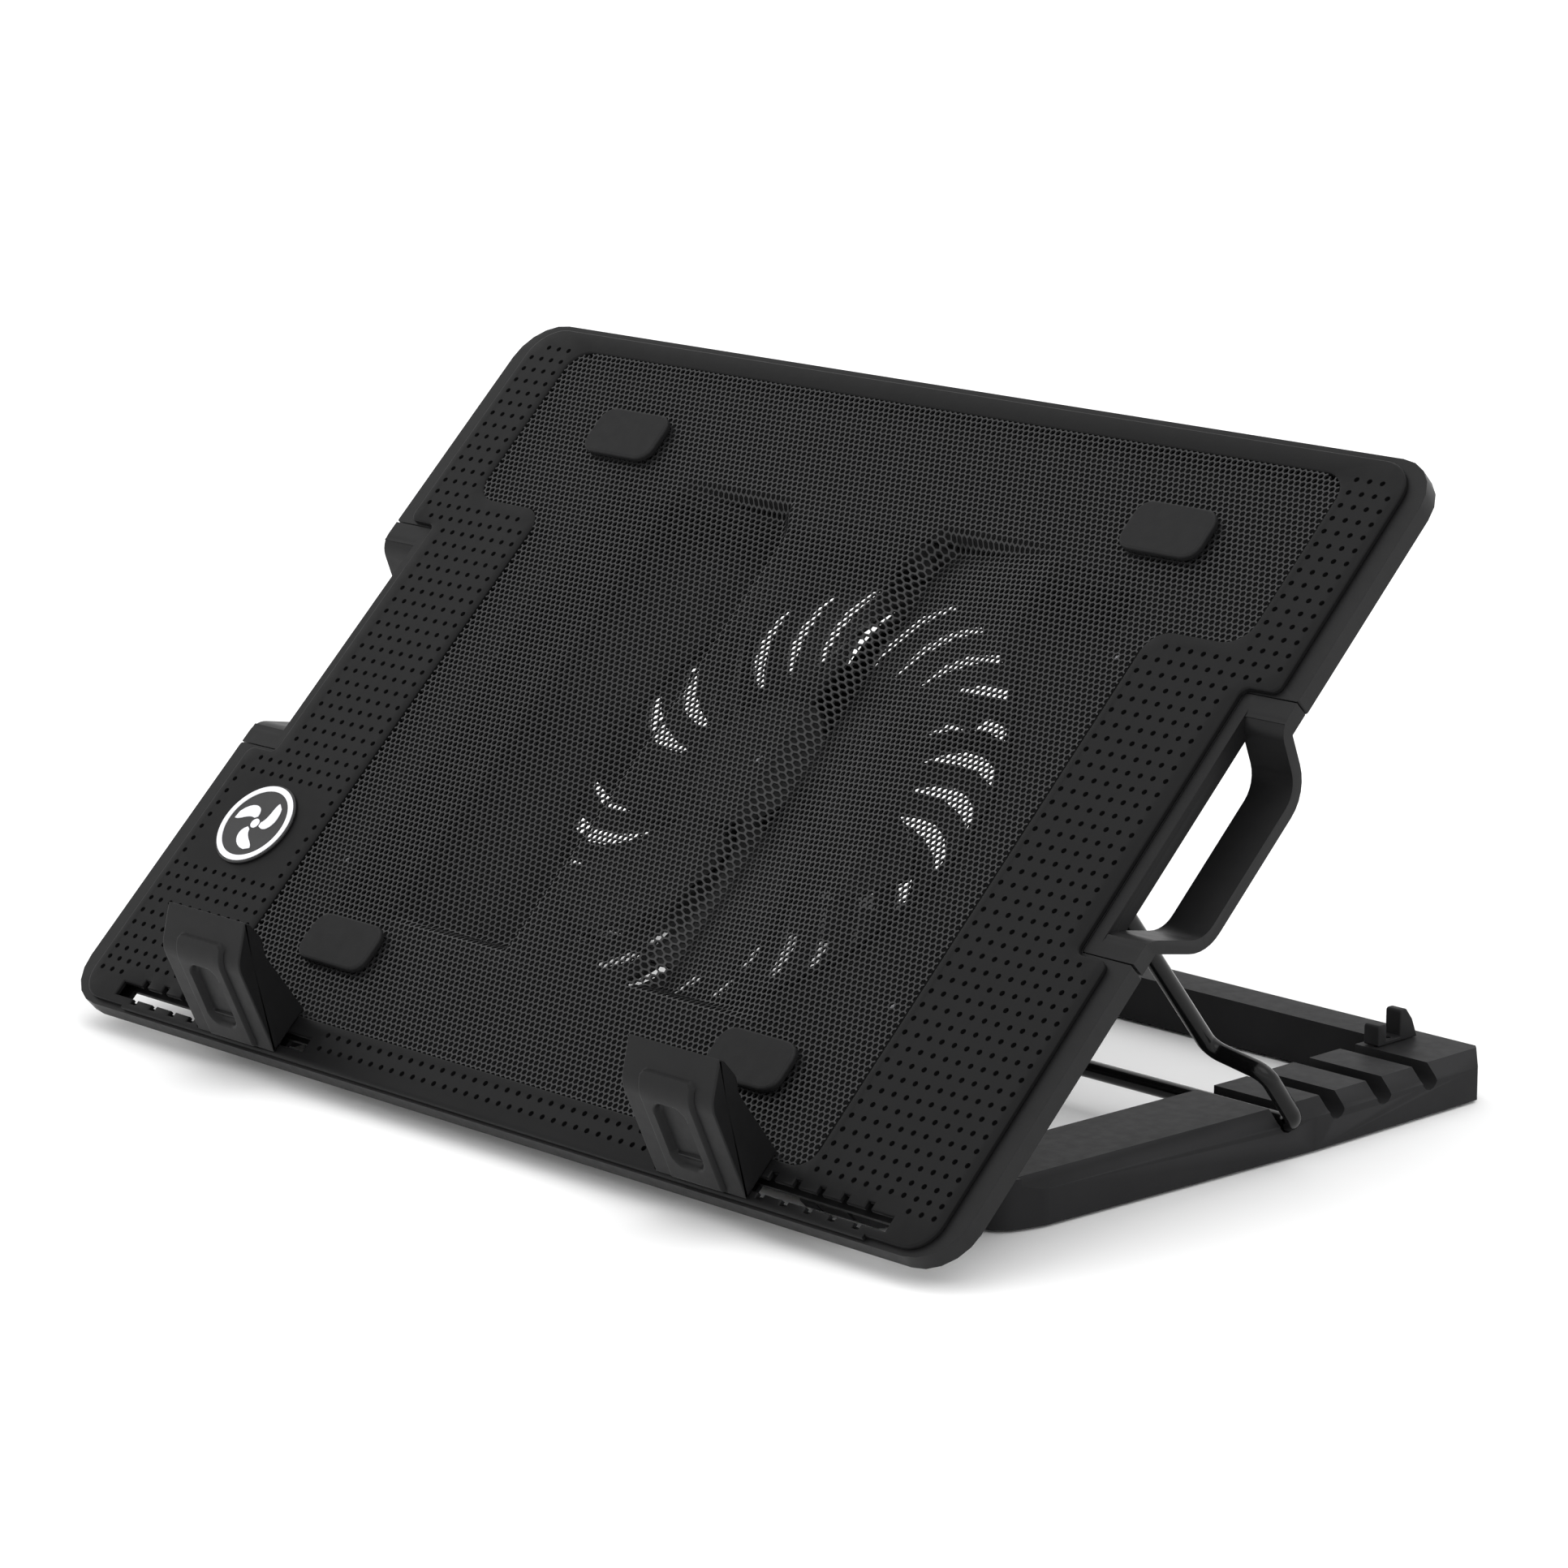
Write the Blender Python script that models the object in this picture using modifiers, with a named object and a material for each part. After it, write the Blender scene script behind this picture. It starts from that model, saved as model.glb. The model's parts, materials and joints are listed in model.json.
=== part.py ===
"""Laptop cooling pad: a tilting mesh deck with a fan, on a folding base with a notched rack.

Units are metres, +Z is up, +X is the user's right and +Y points away from the user.
The deck's pieces are drawn in the deck's own frame: X as above, Y up the slope from the
front edge, Z out of the top face. An empty on the hinge axis tilts that frame.
"""
import math

import bmesh
import bpy
from mathutils import Matrix, Vector

# ---- driving dimensions -------------------------------------------------------------
DECK_WIDTH = 0.398
DECK_DEPTH = 0.288
DECK_CORNER = 0.016
DECK_TILT = math.radians(43.5)
RIM_HEIGHT = 0.006
FIT = 0.0003                       # clearance between pieces that touch

BASE_REAR = 0.262                  # measured from the deck's front edge, as are all of these
BASE_FRONT = 0.052
BASE_LOW = -0.0083                 # heights are measured from the deck's front edge too
BASE_HIGH = 0.0067
GROUND = -0.0093
STOPPER_REACH = 0.0135             # how far the stoppers stand out in front of the deck edge
ORIGIN = Vector((0.0, -(BASE_REAR - STOPPER_REACH) / 2, -GROUND))

HINGE_Y = 0.030
HINGE_Z = -0.001
HINGE_X = 0.132
PIN_RADIUS = 0.0025

RACK_SLOTS = (0.1675, 0.1893, 0.2111, 0.2329)
BAR_Z = 0.0026                     # centre of the bail's bar as it lies in a slot
WIRE_RADIUS = 0.0028
SLOT_RADIUS = 0.0036
BAIL_PIVOT = (0.132, -0.0092)      # in the deck frame: up the slope, out of the face
LEG_X = 0.165
FOOT_X = 0.1835

COVER_TOP = 0.0019                  # the cover lies on the casing's rim, whose top is at zero
COVER_LOW = FIT
MESH_TOP = 0.0015
MESH_THICKNESS = 0.0008
PAD_TOP = 0.0046
RELIEF_DEPTH = 0.0062
SLAB_TOP = -0.0038
SLAB_LOW = -0.0054

HANDLE_FRONT = 0.105
HANDLE_REAR = 0.199
HANDLE_INNER = 0.1795
HANDLE_BAR = 0.0038
HANDLE_DROP = 0.0193
RIBBON = 0.004

FAN_X = 0.009
FAN_Y = 0.147
DUCT_RADIUS = 0.0805
GRILLE_LOW = -0.0269
GRILLE_HIGH = -0.0251
BLADES = 7
BLADE_TIP = 0.0765
HUB_RADIUS = 0.024
HUB_TOP = -0.0095
HUB_LOW = -0.0225
VENT_SLOTS = 29

SLOT_FRONT = 0.0048                # the stoppers' slots in the deck
SLOT_BACK = 0.0098
SLOT_IN = 0.080
SLOT_OUT = 0.1742
STOPPER_X = {1: 0.1025, -1: 0.1095}     # each stands where its user left it
STOPPER_WIDTH = 0.038

CONTROL_X = -0.119
CONTROL_LOW = -0.0175

SIDES = ((1, "right"), (-1, "left"))


# ---- scene and materials ------------------------------------------------------------
def clear_scene():
    for obj in list(bpy.data.objects):
        bpy.data.objects.remove(obj, do_unlink=True)


def make_collection(name):
    collection = bpy.data.collections.new(name)
    bpy.context.scene.collection.children.link(collection)
    return collection


def make_material(name, grey, roughness, metallic=0.0):
    material = bpy.data.materials.new(name)
    material.use_nodes = True
    shader = material.node_tree.nodes["Principled BSDF"]
    shader.inputs["Base Color"].default_value = (grey, grey, grey * 1.02, 1.0)
    shader.inputs["Roughness"].default_value = roughness
    shader.inputs["Metallic"].default_value = metallic
    return material


clear_scene()
PARTS = make_collection("laptop_cooling_pad")
CUTTERS = make_collection("cutters")
CASING = make_material("casing_plastic", 0.030, 0.50)
COVER = make_material("cover_plastic", 0.022, 0.45)
BASE = make_material("base_plastic", 0.034, 0.48)
MESH = make_material("mesh_steel", 0.028, 0.40, 0.6)
WIRE = make_material("wire_steel", 0.012, 0.16, 0.4)
STEEL = make_material("bright_steel", 0.45, 0.30, 1.0)
RUBBER = make_material("rubber", 0.020, 0.80)
BLACK = make_material("fan_plastic", 0.015, 0.35)
BOARD = make_material("circuit_board", 0.050, 0.55)
COPPER = make_material("copper_wire", 0.30, 0.35, 1.0)
PRINT = make_material("badge_print", 0.80, 0.40)


def make_empty(name, parent, location=(0, 0, 0), turn_x=0.0):
    empty = bpy.data.objects.new(name, None)
    empty.location = location
    empty.rotation_euler.x = turn_x
    empty.parent = parent
    PARTS.objects.link(empty)
    return empty


def to_deck(y, z):
    """A point of the standing object, seen in the tilted deck's frame."""
    cosine, sine = math.cos(DECK_TILT), math.sin(DECK_TILT)
    return y * cosine + z * sine, z * cosine - y * sine


def from_deck(y, z):
    cosine, sine = math.cos(DECK_TILT), math.sin(DECK_TILT)
    return y * cosine - z * sine, y * sine + z * cosine


HINGE_IN_DECK = to_deck(HINGE_Y, HINGE_Z)
PIVOT_STANDING = from_deck(*BAIL_PIVOT)
BAIL_RUN = RACK_SLOTS[0] - PIVOT_STANDING[0]
BAIL_FALL = PIVOT_STANDING[1] - BAR_Z
BAIL_LENGTH = math.hypot(BAIL_RUN, BAIL_FALL)
BAIL_ANGLE = -math.atan2(BAIL_FALL, BAIL_RUN) - DECK_TILT

ROOT = make_empty("origin", None, ORIGIN)
DECK_AXIS = make_empty("deck_hinge", ROOT, (0, HINGE_Y, HINGE_Z), DECK_TILT)
DECK = make_empty("deck_frame", DECK_AXIS, (0, -HINGE_IN_DECK[0], -HINGE_IN_DECK[1]))
BAIL_AXIS = make_empty("bail_hinge", DECK, (0, *BAIL_PIVOT), BAIL_ANGLE)
FAN_AXIS = make_empty("fan_axis", DECK, (FAN_X, FAN_Y, 0))


# ---- outlines -----------------------------------------------------------------------
def fillet(points, radius, steps=4, closed=True):
    """Round an outline's corners. A point may carry its own radius as a third value."""
    corners = [Vector(p[:2]) for p in points]
    result = []
    for i, corner in enumerate(corners):
        own = points[i][2] if len(points[i]) > 2 else radius
        end_point = not closed and i in (0, len(corners) - 1)
        if end_point or own == 0:
            result.append(tuple(corner))
            continue
        back = corners[i - 1] - corner
        ahead = corners[(i + 1) % len(corners)] - corner
        half = back.angle(ahead) / 2
        run = min(own / math.tan(half), back.length * 0.49, ahead.length * 0.49)
        centre = corner + (back.normalized() + ahead.normalized()).normalized() * run / math.cos(half)
        start = corner + back.normalized() * run - centre
        sweep = start.angle_signed(corner + ahead.normalized() * run - centre)
        for step in range(steps + 1):
            turned = start.copy()
            turned.rotate(Matrix.Rotation(-sweep * step / steps, 2))
            result.append(tuple(centre + turned))
    return result


def box_outline(x0, x1, y0, y1, radius=0.0, steps=4):
    return fillet([(x0, y0), (x1, y0), (x1, y1), (x0, y1)], radius, steps)


def disc_outline(radius, segments, x=0.0, y=0.0):
    turns = [2 * math.pi * i / segments for i in range(segments)]
    return [(x + radius * math.cos(a), y + radius * math.sin(a)) for a in turns]


def both_sides(points):
    """Close an outline given for its right half, front to rear, with its mirror image."""
    return points + [(-p[0], *p[1:]) for p in reversed(points)]


# ---- solids -------------------------------------------------------------------------
def add_object(name, mesh, parent, material, location=(0, 0, 0)):
    obj = bpy.data.objects.new(name, mesh)
    obj.location = location
    obj.parent = parent
    mesh.materials.clear()
    mesh.materials.append(material)
    mesh.shade_smooth()
    mesh.set_sharp_from_angle(angle=math.radians(35))
    PARTS.objects.link(obj)
    return obj


def mesh_of_curve(curve, move=Matrix()):
    """The closed mesh of a curve object, with its caps welded on."""
    holder = bpy.data.objects.new("curve_holder", curve)
    PARTS.objects.link(holder)
    evaluated = holder.evaluated_get(bpy.context.evaluated_depsgraph_get())
    mesh = bpy.data.meshes.new_from_object(evaluated)
    bpy.data.objects.remove(holder, do_unlink=True)
    edit = bmesh.new()
    edit.from_mesh(mesh)
    bmesh.ops.remove_doubles(edit, verts=edit.verts, dist=0.000002)
    bmesh.ops.recalc_face_normals(edit, faces=edit.faces)
    edit.to_mesh(mesh)
    edit.free()
    mesh.transform(move)
    return mesh


def prism_mesh(outline, low, high):
    """A plate with one outline and no holes."""
    edit = bmesh.new()
    bottom = [edit.verts.new((x, y, low)) for x, y in outline]
    top = [edit.verts.new((x, y, high)) for x, y in outline]
    edit.faces.new(bottom)
    edit.faces.new(top)
    for i in range(len(outline)):
        edit.faces.new((bottom[i - 1], bottom[i], top[i], top[i - 1]))
    bmesh.ops.recalc_face_normals(edit, faces=edit.faces)
    mesh = bpy.data.meshes.new("prism")
    edit.to_mesh(mesh)
    edit.free()
    return mesh


def pierced_mesh(outlines, low, high):
    """A plate with one outline and the holes in it."""
    curve = bpy.data.curves.new("outline", "CURVE")
    curve.dimensions = "2D"
    curve.fill_mode = "BOTH"
    curve.extrude = (high - low) / 2
    for outline in outlines:
        spline = curve.splines.new("POLY")
        spline.points.add(len(outline) - 1)
        for point, place in zip(spline.points, outline):
            point.co = (*place, 0, 1)
        spline.use_cyclic_u = True
    return mesh_of_curve(curve, Matrix.Translation((0, 0, (low + high) / 2)))


def plate_mesh(outlines, low, high, along_x=False):
    """A plate with the given outlines, the first outside and the rest holes in it.

    It lies flat from low to high, or stands with its thickness along X and its outline
    in Y and Z.
    """
    if len(outlines) > 1:
        mesh = pierced_mesh(outlines, low, high)
    else:
        mesh = prism_mesh(outlines[0], low, high)
    if along_x:
        mesh.transform(Matrix(((0, 0, 1, 0), (1, 0, 0, 0), (0, 1, 0, 0), (0, 0, 0, 1))))
    return mesh


def plate(name, outlines, low, high, parent, material, along_x=False, location=(0, 0, 0)):
    mesh = plate_mesh(outlines, low, high, along_x)
    return add_object(name, mesh, parent, material, location)


def rod_mesh(radius, low, high, segments, axis="Z", x=0.0, y=0.0):
    """A round bar from low to high, along Z at x, y, or along X at y, z."""
    edit = bmesh.new()
    bmesh.ops.create_cone(edit, cap_ends=True, cap_tris=False, segments=segments,
                          radius1=radius, radius2=radius, depth=high - low)
    mesh = bpy.data.meshes.new("rod")
    edit.to_mesh(mesh)
    edit.free()
    mesh.transform(Matrix.Translation((0, 0, (low + high) / 2)))
    if axis == "X":
        mesh.transform(Matrix.Rotation(math.pi / 2, 4, "Y"))
        mesh.transform(Matrix.Translation((0, x, y)))
    else:
        mesh.transform(Matrix.Translation((x, y, 0)))
    return mesh


def wire_mesh(points, radius, resolution):
    curve = bpy.data.curves.new("wire", "CURVE")
    curve.dimensions = "3D"
    curve.bevel_depth = radius
    curve.bevel_resolution = resolution
    curve.use_fill_caps = True
    spline = curve.splines.new("POLY")
    spline.points.add(len(points) - 1)
    for point, place in zip(spline.points, points):
        point.co = (*place, 1)
    return mesh_of_curve(curve)


def turned_mesh(profile, segments):
    """A turned piece: a closed profile of radius and height, listed outer side down first."""
    edit = bmesh.new()
    ring = [edit.verts.new((r, 0, z)) for r, z in profile]
    edges = [edit.edges.new((ring[i - 1], ring[i])) for i in range(len(ring))]
    bmesh.ops.spin(edit, geom=ring + edges, axis=(0, 0, 1), cent=(0, 0, 0),
                   steps=segments, angle=2 * math.pi, use_merge=True)
    bmesh.ops.remove_doubles(edit, verts=edit.verts, dist=0.000002)
    bmesh.ops.recalc_face_normals(edit, faces=edit.faces)
    mesh = bpy.data.meshes.new("turned")
    edit.to_mesh(mesh)
    edit.free()
    return mesh


def combine(obj, mesh, operation="DIFFERENCE"):
    """Cut a shape from a piece, or unite it with the piece, by a Boolean modifier."""
    tool = bpy.data.objects.new(obj.name + "_tool", mesh)
    tool.parent = obj.parent
    tool.location = obj.location
    tool.hide_render = True
    tool.display_type = "WIRE"
    CUTTERS.objects.link(tool)
    modifier = obj.modifiers.new(operation.lower(), "BOOLEAN")
    modifier.operation = operation
    modifier.object = tool


def spun_mesh(profile, segments):
    """A turned piece without a bore: its profile starts and ends on the axis."""
    edit = bmesh.new()
    line = [edit.verts.new((r, 0, z)) for r, z in profile]
    edges = [edit.edges.new(pair) for pair in zip(line, line[1:])]
    bmesh.ops.spin(edit, geom=line + edges, axis=(0, 0, 1), cent=(0, 0, 0),
                   steps=segments, angle=2 * math.pi, use_merge=True)
    bmesh.ops.remove_doubles(edit, verts=edit.verts, dist=0.000002)
    bmesh.ops.recalc_face_normals(edit, faces=edit.faces)
    mesh = bpy.data.meshes.new("spun")
    edit.to_mesh(mesh)
    edit.free()
    return mesh


def add_screw(name, place, length, head=0.0024):
    """A pan-head screw driven upward from below; its place is under its head."""
    shank = 0.0012
    profile = [(0, -0.0014), (head * 0.7, -0.0014), (head, -0.0006), (head, 0),
               (shank, 0), (shank, length), (0, length)]
    add_object(name, spun_mesh(profile, 8), DECK, STEEL, place)


# ---- base ---------------------------------------------------------------------------
BASE_WIDE = 0.180
BASE_NARROW = 0.1735
TAPER_END = 0.180
ARM_INNER_REAR = 0.147
ARM_INNER_FRONT = 0.142
CROSS_FRONT = 0.2474
FRONT_BEAM = 0.014
EDGE_BEVEL = 0.005
BEVEL_START = 0.060
CLIP_X = 0.152
CLIP_Y = 0.2452
FOOT_RADIUS = 0.007
FOOT_PLACES = ((0.161, 0.073), (0.164, 0.244))


def base_outline():
    right = [(BASE_NARROW - 0.004, BASE_FRONT, 0.018), (BASE_NARROW + 0.0006, BASE_FRONT + 0.016, 0.014),
             (BASE_WIDE, TAPER_END, 0.03), (BASE_WIDE, BASE_REAR - 0.006, 0.001),
             (BASE_WIDE - 0.006, BASE_REAR, 0.001)]
    return fillet(both_sides(right), 0.001, 5)


def base_opening():
    right = [(ARM_INNER_FRONT, BASE_FRONT + FRONT_BEAM), (ARM_INNER_REAR, TAPER_END),
             (ARM_INNER_REAR, CROSS_FRONT)]
    return fillet(both_sides(right), 0.003, 3)


def edge_cutter(side):
    """The prism that bevels one arm's outer top edge, following the arm's plan."""
    low, high = BASE_HIGH - EDGE_BEVEL - 0.0003, BASE_HIGH
    section = [(0, low), (0, high + 0.004), (-EDGE_BEVEL - 0.004, high + 0.004), (-EDGE_BEVEL, high)]
    stations = [(BASE_NARROW - 0.0028, BEVEL_START), (BASE_NARROW + 0.0012, BEVEL_START + 0.012),
                (BASE_WIDE, TAPER_END), (BASE_WIDE, BASE_REAR + 0.004)]
    edit = bmesh.new()
    rings = []
    for x, y in stations:
        lead = 0.0006 if y > BEVEL_START else 0.004
        rings.append([edit.verts.new((side * (x + u + lead), y, v)) for u, v in section])
    for ring, following in zip(rings, rings[1:]):
        for i in range(len(section)):
            edit.faces.new((ring[i - 1], ring[i], following[i], following[i - 1]))
    edit.faces.new(rings[0])
    edit.faces.new(rings[-1])
    bmesh.ops.recalc_face_normals(edit, faces=edit.faces)
    mesh = bpy.data.meshes.new("edge_cutter")
    edit.to_mesh(mesh)
    edit.free()
    return mesh


def rack_slot(y):
    """A round-bottomed slot across both arms."""
    bottom = BAR_Z - WIRE_RADIUS - FIT + SLOT_RADIUS
    turns = [math.pi + math.pi * i / 6 for i in range(7)]
    arc = [(y + SLOT_RADIUS * math.cos(a), bottom + SLOT_RADIUS * math.sin(a)) for a in turns]
    outline = arc + [(y + SLOT_RADIUS, BASE_HIGH + 0.002), (y - SLOT_RADIUS, BASE_HIGH + 0.002)]
    return plate_mesh([outline], -0.19, 0.19, along_x=True)


def hinge_lug(x):
    """A lug that reaches forward from the front beam and holds the hinge pin."""
    boss = 0.0062
    arc = [math.radians(90 + 30 * i) for i in range(7)]
    nose = [(HINGE_Y + boss * math.cos(a), HINGE_Z + boss * math.sin(a)) for a in arc]
    outline = nose + [(BASE_FRONT + 0.004, HINGE_Z - boss), (BASE_FRONT + 0.004, HINGE_Z + boss)]
    return plate_mesh([outline], x - 0.0035, x + 0.0035, along_x=True)


def make_base():
    frame = plate("base_frame", [base_outline(), base_opening()], BASE_LOW, BASE_HIGH, ROOT, BASE)
    for side, _ in SIDES:
        for offset in (-0.0108, 0.0108):
            combine(frame, hinge_lug(side * (HINGE_X + offset)), "UNION")
    for side, _ in SIDES:
        combine(frame, edge_cutter(side))
        bore = rod_mesh(PIN_RADIUS + 0.0002, HINGE_X - 0.016, HINGE_X + 0.016, 20, "X", HINGE_Y, HINGE_Z)
        bore.transform(Matrix.Translation((HINGE_X * (side - 1), 0, 0)))
        combine(frame, bore)
        for x, y in FOOT_PLACES:
            pocket = rod_mesh(FOOT_RADIUS + FIT, BASE_LOW - 0.001, BASE_LOW + 0.001, 24, "Z", side * x, y)
            combine(frame, pocket)
    for y in RACK_SLOTS:
        combine(frame, rack_slot(y))


def make_feet():
    for side, word in SIDES:
        for place, (x, y) in zip(("front", "rear"), FOOT_PLACES):
            profile = [(0, BASE_LOW + 0.0007), (FOOT_RADIUS, BASE_LOW + 0.0007),
                       (FOOT_RADIUS, GROUND + 0.0004), (FOOT_RADIUS - 0.0006, GROUND), (0, GROUND)]
            name = f"rubber_foot_{place}_{word}"
            add_object(name, spun_mesh(profile, 24), ROOT, RUBBER, (side * x, y, 0))


def make_bar_clip(side, word):
    """Two prongs on a foot plate, which hold the folded bail's bar between them."""
    floor = BASE_HIGH + FIT
    gap = WIRE_RADIUS + 0.0004
    outline = [(CLIP_Y - gap - 0.004, floor), (CLIP_Y + gap + 0.0085, floor),
               (CLIP_Y + gap + 0.0060, floor + 0.006), (CLIP_Y + gap + 0.0030, floor + 0.0098, 0.001),
               (CLIP_Y + gap, floor + 0.0098, 0.001), (CLIP_Y + gap, floor + 0.0014),
               (CLIP_Y - gap, floor + 0.0014), (CLIP_Y - gap, floor + 0.0066, 0.001),
               (CLIP_Y - gap - 0.004, floor + 0.0066, 0.001)]
    clip = plate(f"bar_clip_{word}", [fillet(outline, 0, 3)], -0.003, 0.003, ROOT, BASE,
                 along_x=True, location=(side * CLIP_X, 0, 0))
    combine(clip, rod_mesh(0.0015, floor - 0.001, floor + 0.003, 12, "Z", 0, CLIP_Y))
    hole = rod_mesh(0.0015, BASE_LOW + 0.003, BASE_HIGH + 0.001, 12, "Z", side * CLIP_X, CLIP_Y)
    combine(bpy.data.objects["base_frame"], hole)


def make_hinge_pins():
    for side, word in SIDES:
        mesh = rod_mesh(PIN_RADIUS, -0.0155, 0.0155, 20, "X")
        add_object(f"hinge_pin_{word}", mesh, ROOT, STEEL, (side * HINGE_X, HINGE_Y, HINGE_Z))


# ---- deck casing --------------------------------------------------------------------
HALF = DECK_WIDTH / 2
DRAFT = 0.0002                     # slant between the mouths of the recesses and their floors
COVER_SIDE = 0.1917
COVER_FRONT = 0.0008
COVER_JOG = (0.168, 0.0011)        # beyond this X the cover's front edge stands back by this much
COVER_REAR = 0.2853
LEDGE = 0.0035
SKIRT = 0.0025
MESH_WIDE = 0.1698
MESH_NARROW = 0.1351
MESH_FRONT = 0.0160
MESH_STEP = 0.2135
MESH_REAR = 0.2778
RABBET_OUT = 0.003                 # the ledge under the cover that carries the mesh's edge
RABBET_IN = 0.0025
RABBET_LOW = -0.0012
AIR_X = 0.117
AIR_FRONT = 0.058
AIR_REAR = 0.2326


def deck_outline(grow=0.0):
    """The casing's plan, with a recess at each side for the handle."""
    edge = HALF + grow
    inner = HANDLE_INNER - FIT + grow
    front, rear = HANDLE_FRONT - FIT + grow, HANDLE_REAR + FIT - grow
    right = [(edge, -grow, DECK_CORNER), (edge, front - DRAFT, 0.0008), (inner, front, 0.001),
             (inner, rear, 0.001), (edge, rear + DRAFT, 0.0008), (edge, DECK_DEPTH + grow, DECK_CORNER)]
    return fillet(both_sides(right), 0, 5)


def cover_outline(grow=0.0):
    edge = COVER_SIDE + grow
    inner = HANDLE_INNER - 0.0006 + grow
    front, rear = HANDLE_FRONT - 0.0018 + grow, HANDLE_REAR + 0.0008 - grow
    jog, back = COVER_JOG
    nose = COVER_FRONT - grow
    right = [(jog, nose, 0), (jog + DRAFT, nose + back, 0), (edge, nose + back, 0.010),
             (edge, front - DRAFT, 0.003), (inner, front, 0.003), (inner, rear, 0.003),
             (edge, rear + DRAFT, 0.003), (edge, COVER_REAR + grow, 0.012)]
    return fillet(both_sides(right), 0, 5)


def mesh_outline(grow=0.0):
    right = [(MESH_NARROW + grow, MESH_FRONT - grow, 0.007),
             (MESH_NARROW + grow, MESH_STEP - DRAFT - grow, 0.008),
             (MESH_WIDE + grow, MESH_STEP - grow, 0.009), (MESH_WIDE + grow, MESH_REAR + grow, 0.009)]
    return fillet(both_sides(right), 0, 4)


def stopper_slot(side):
    """A long slot with short cross notches, in which a stopper slides from stop to stop."""
    notch, front, back = 0.00125, 0.0030, 0.0122
    notches = [0.0958 + 0.0097 * i for i in range(8)]
    outline = [(side * SLOT_OUT, SLOT_BACK), (side * SLOT_OUT, SLOT_FRONT)]
    for x in reversed(notches):
        outline += [(side * (x + notch), SLOT_FRONT), (side * (x + notch), front),
                    (side * (x - notch), front), (side * (x - notch), SLOT_FRONT)]
    outline += [(side * SLOT_IN, SLOT_FRONT), (side * SLOT_IN, SLOT_BACK)]
    for x in notches:
        outline += [(side * (x - notch), SLOT_BACK), (side * (x - notch), back),
                    (side * (x + notch), back), (side * (x + notch), SLOT_BACK)]
    return outline


def make_lower_shell():
    shell = plate("lower_shell", [deck_outline()], -RIM_HEIGHT, 0, DECK, CASING)
    combine(shell, plate_mesh([cover_outline(-LEDGE)], SLAB_TOP, 0.001))
    combine(shell, plate_mesh([deck_outline(-SKIRT)], -RIM_HEIGHT - 0.001, SLAB_LOW))
    combine(shell, plate_mesh([box_outline(-AIR_X, AIR_X, AIR_FRONT, AIR_REAR, 0.006)], -0.008, 0.001))
    for side, _ in SIDES:
        slot = box_outline(side * SLOT_IN, side * SLOT_OUT, SLOT_FRONT, SLOT_BACK)
        combine(shell, plate_mesh([slot], -0.008, 0.001))
    combine(shell, rod_mesh(0.0016, -0.008, 0.001, 12, "Z", CONTROL_X, 0.262))


def make_top_cover():
    cover = plate("top_cover", [cover_outline()], COVER_LOW, COVER_TOP, DECK, COVER)
    ledge_top = MESH_TOP - MESH_THICKNESS - FIT
    combine(cover, plate_mesh([mesh_outline(RABBET_OUT)], RABBET_LOW, ledge_top), "UNION")
    combine(cover, plate_mesh([mesh_outline(-RABBET_IN)], RABBET_LOW - 0.001, ledge_top + 0.0005))
    combine(cover, plate_mesh([mesh_outline()], ledge_top, COVER_TOP + 0.001))
    for side, _ in SIDES:
        combine(cover, plate_mesh([stopper_slot(side)], COVER_LOW - 0.001, COVER_TOP + 0.001))


RIDGE, FOOT, BRIM = 0.028, 0.031, 0.0835
DIP_FRONT, DIP_REAR, DIP_SLOPE = 0.0568, 0.2346, 0.004


def relief(x, y):
    """How far the mesh dips: two ramps beside a level middle strip."""
    across = abs(x)
    if across <= RIDGE or across >= BRIM:
        return 0.0
    if across < FOOT:
        depth = (across - RIDGE) / (FOOT - RIDGE)
    else:
        depth = (BRIM - across) / (BRIM - FOOT)
    ends = min(1.0, (y - DIP_FRONT) / DIP_SLOPE, (DIP_REAR - y) / DIP_SLOPE)
    return RELIEF_DEPTH * min(depth, max(0.0, ends))


def make_mesh_panel():
    """The perforated sheet, here a plain sheet with the two pressed ramps."""
    middle = (FOOT + BRIM) / 2
    across = [MESH_WIDE + 0.005, BRIM, middle, FOOT, RIDGE]
    across = [-x for x in across] + across[::-1]
    along = [MESH_FRONT - 0.005, DIP_FRONT, DIP_FRONT + DIP_SLOPE, 0.145,
             DIP_REAR - DIP_SLOPE, DIP_REAR, MESH_REAR + 0.005]
    edit = bmesh.new()
    grid = [[edit.verts.new((x, y, MESH_TOP - relief(x, y))) for y in along] for x in across]
    for near, far in zip(grid, grid[1:]):
        for j in range(len(along) - 1):
            edit.faces.new((near[j], far[j], far[j + 1], near[j + 1]))
    mesh = bpy.data.meshes.new("mesh_panel")
    edit.to_mesh(mesh)
    edit.free()
    panel = add_object("mesh_panel", mesh, DECK, MESH)
    skin = panel.modifiers.new("sheet", "SOLIDIFY")
    skin.thickness = MESH_THICKNESS
    skin.offset = -1
    combine(panel, plate_mesh([mesh_outline(-FIT)], -0.012, 0.005), "INTERSECT")


def make_pads():
    """Rubber rests that stand on the mesh under the laptop."""
    sizes = {"rear": (0.1195, 0.2470, 0.0320, 0.0185), "front": (0.0925, 0.0430, 0.0317, 0.0175)}
    for place, (x, y, width, depth) in sizes.items():
        for side, word in SIDES:
            outline = box_outline(-width / 2, width / 2, -depth / 2, depth / 2, 0.0055, 4)
            pad = plate(f"rubber_pad_{place}_{word}", [outline], MESH_TOP + FIT, PAD_TOP, DECK, RUBBER,
                        location=(side * x, y, 0))
            edge = pad.modifiers.new("soft_edge", "BEVEL")
            edge.width = 0.0006
            edge.segments = 1
            edge.limit_method = "ANGLE"
            edge.angle_limit = math.radians(60)


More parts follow.
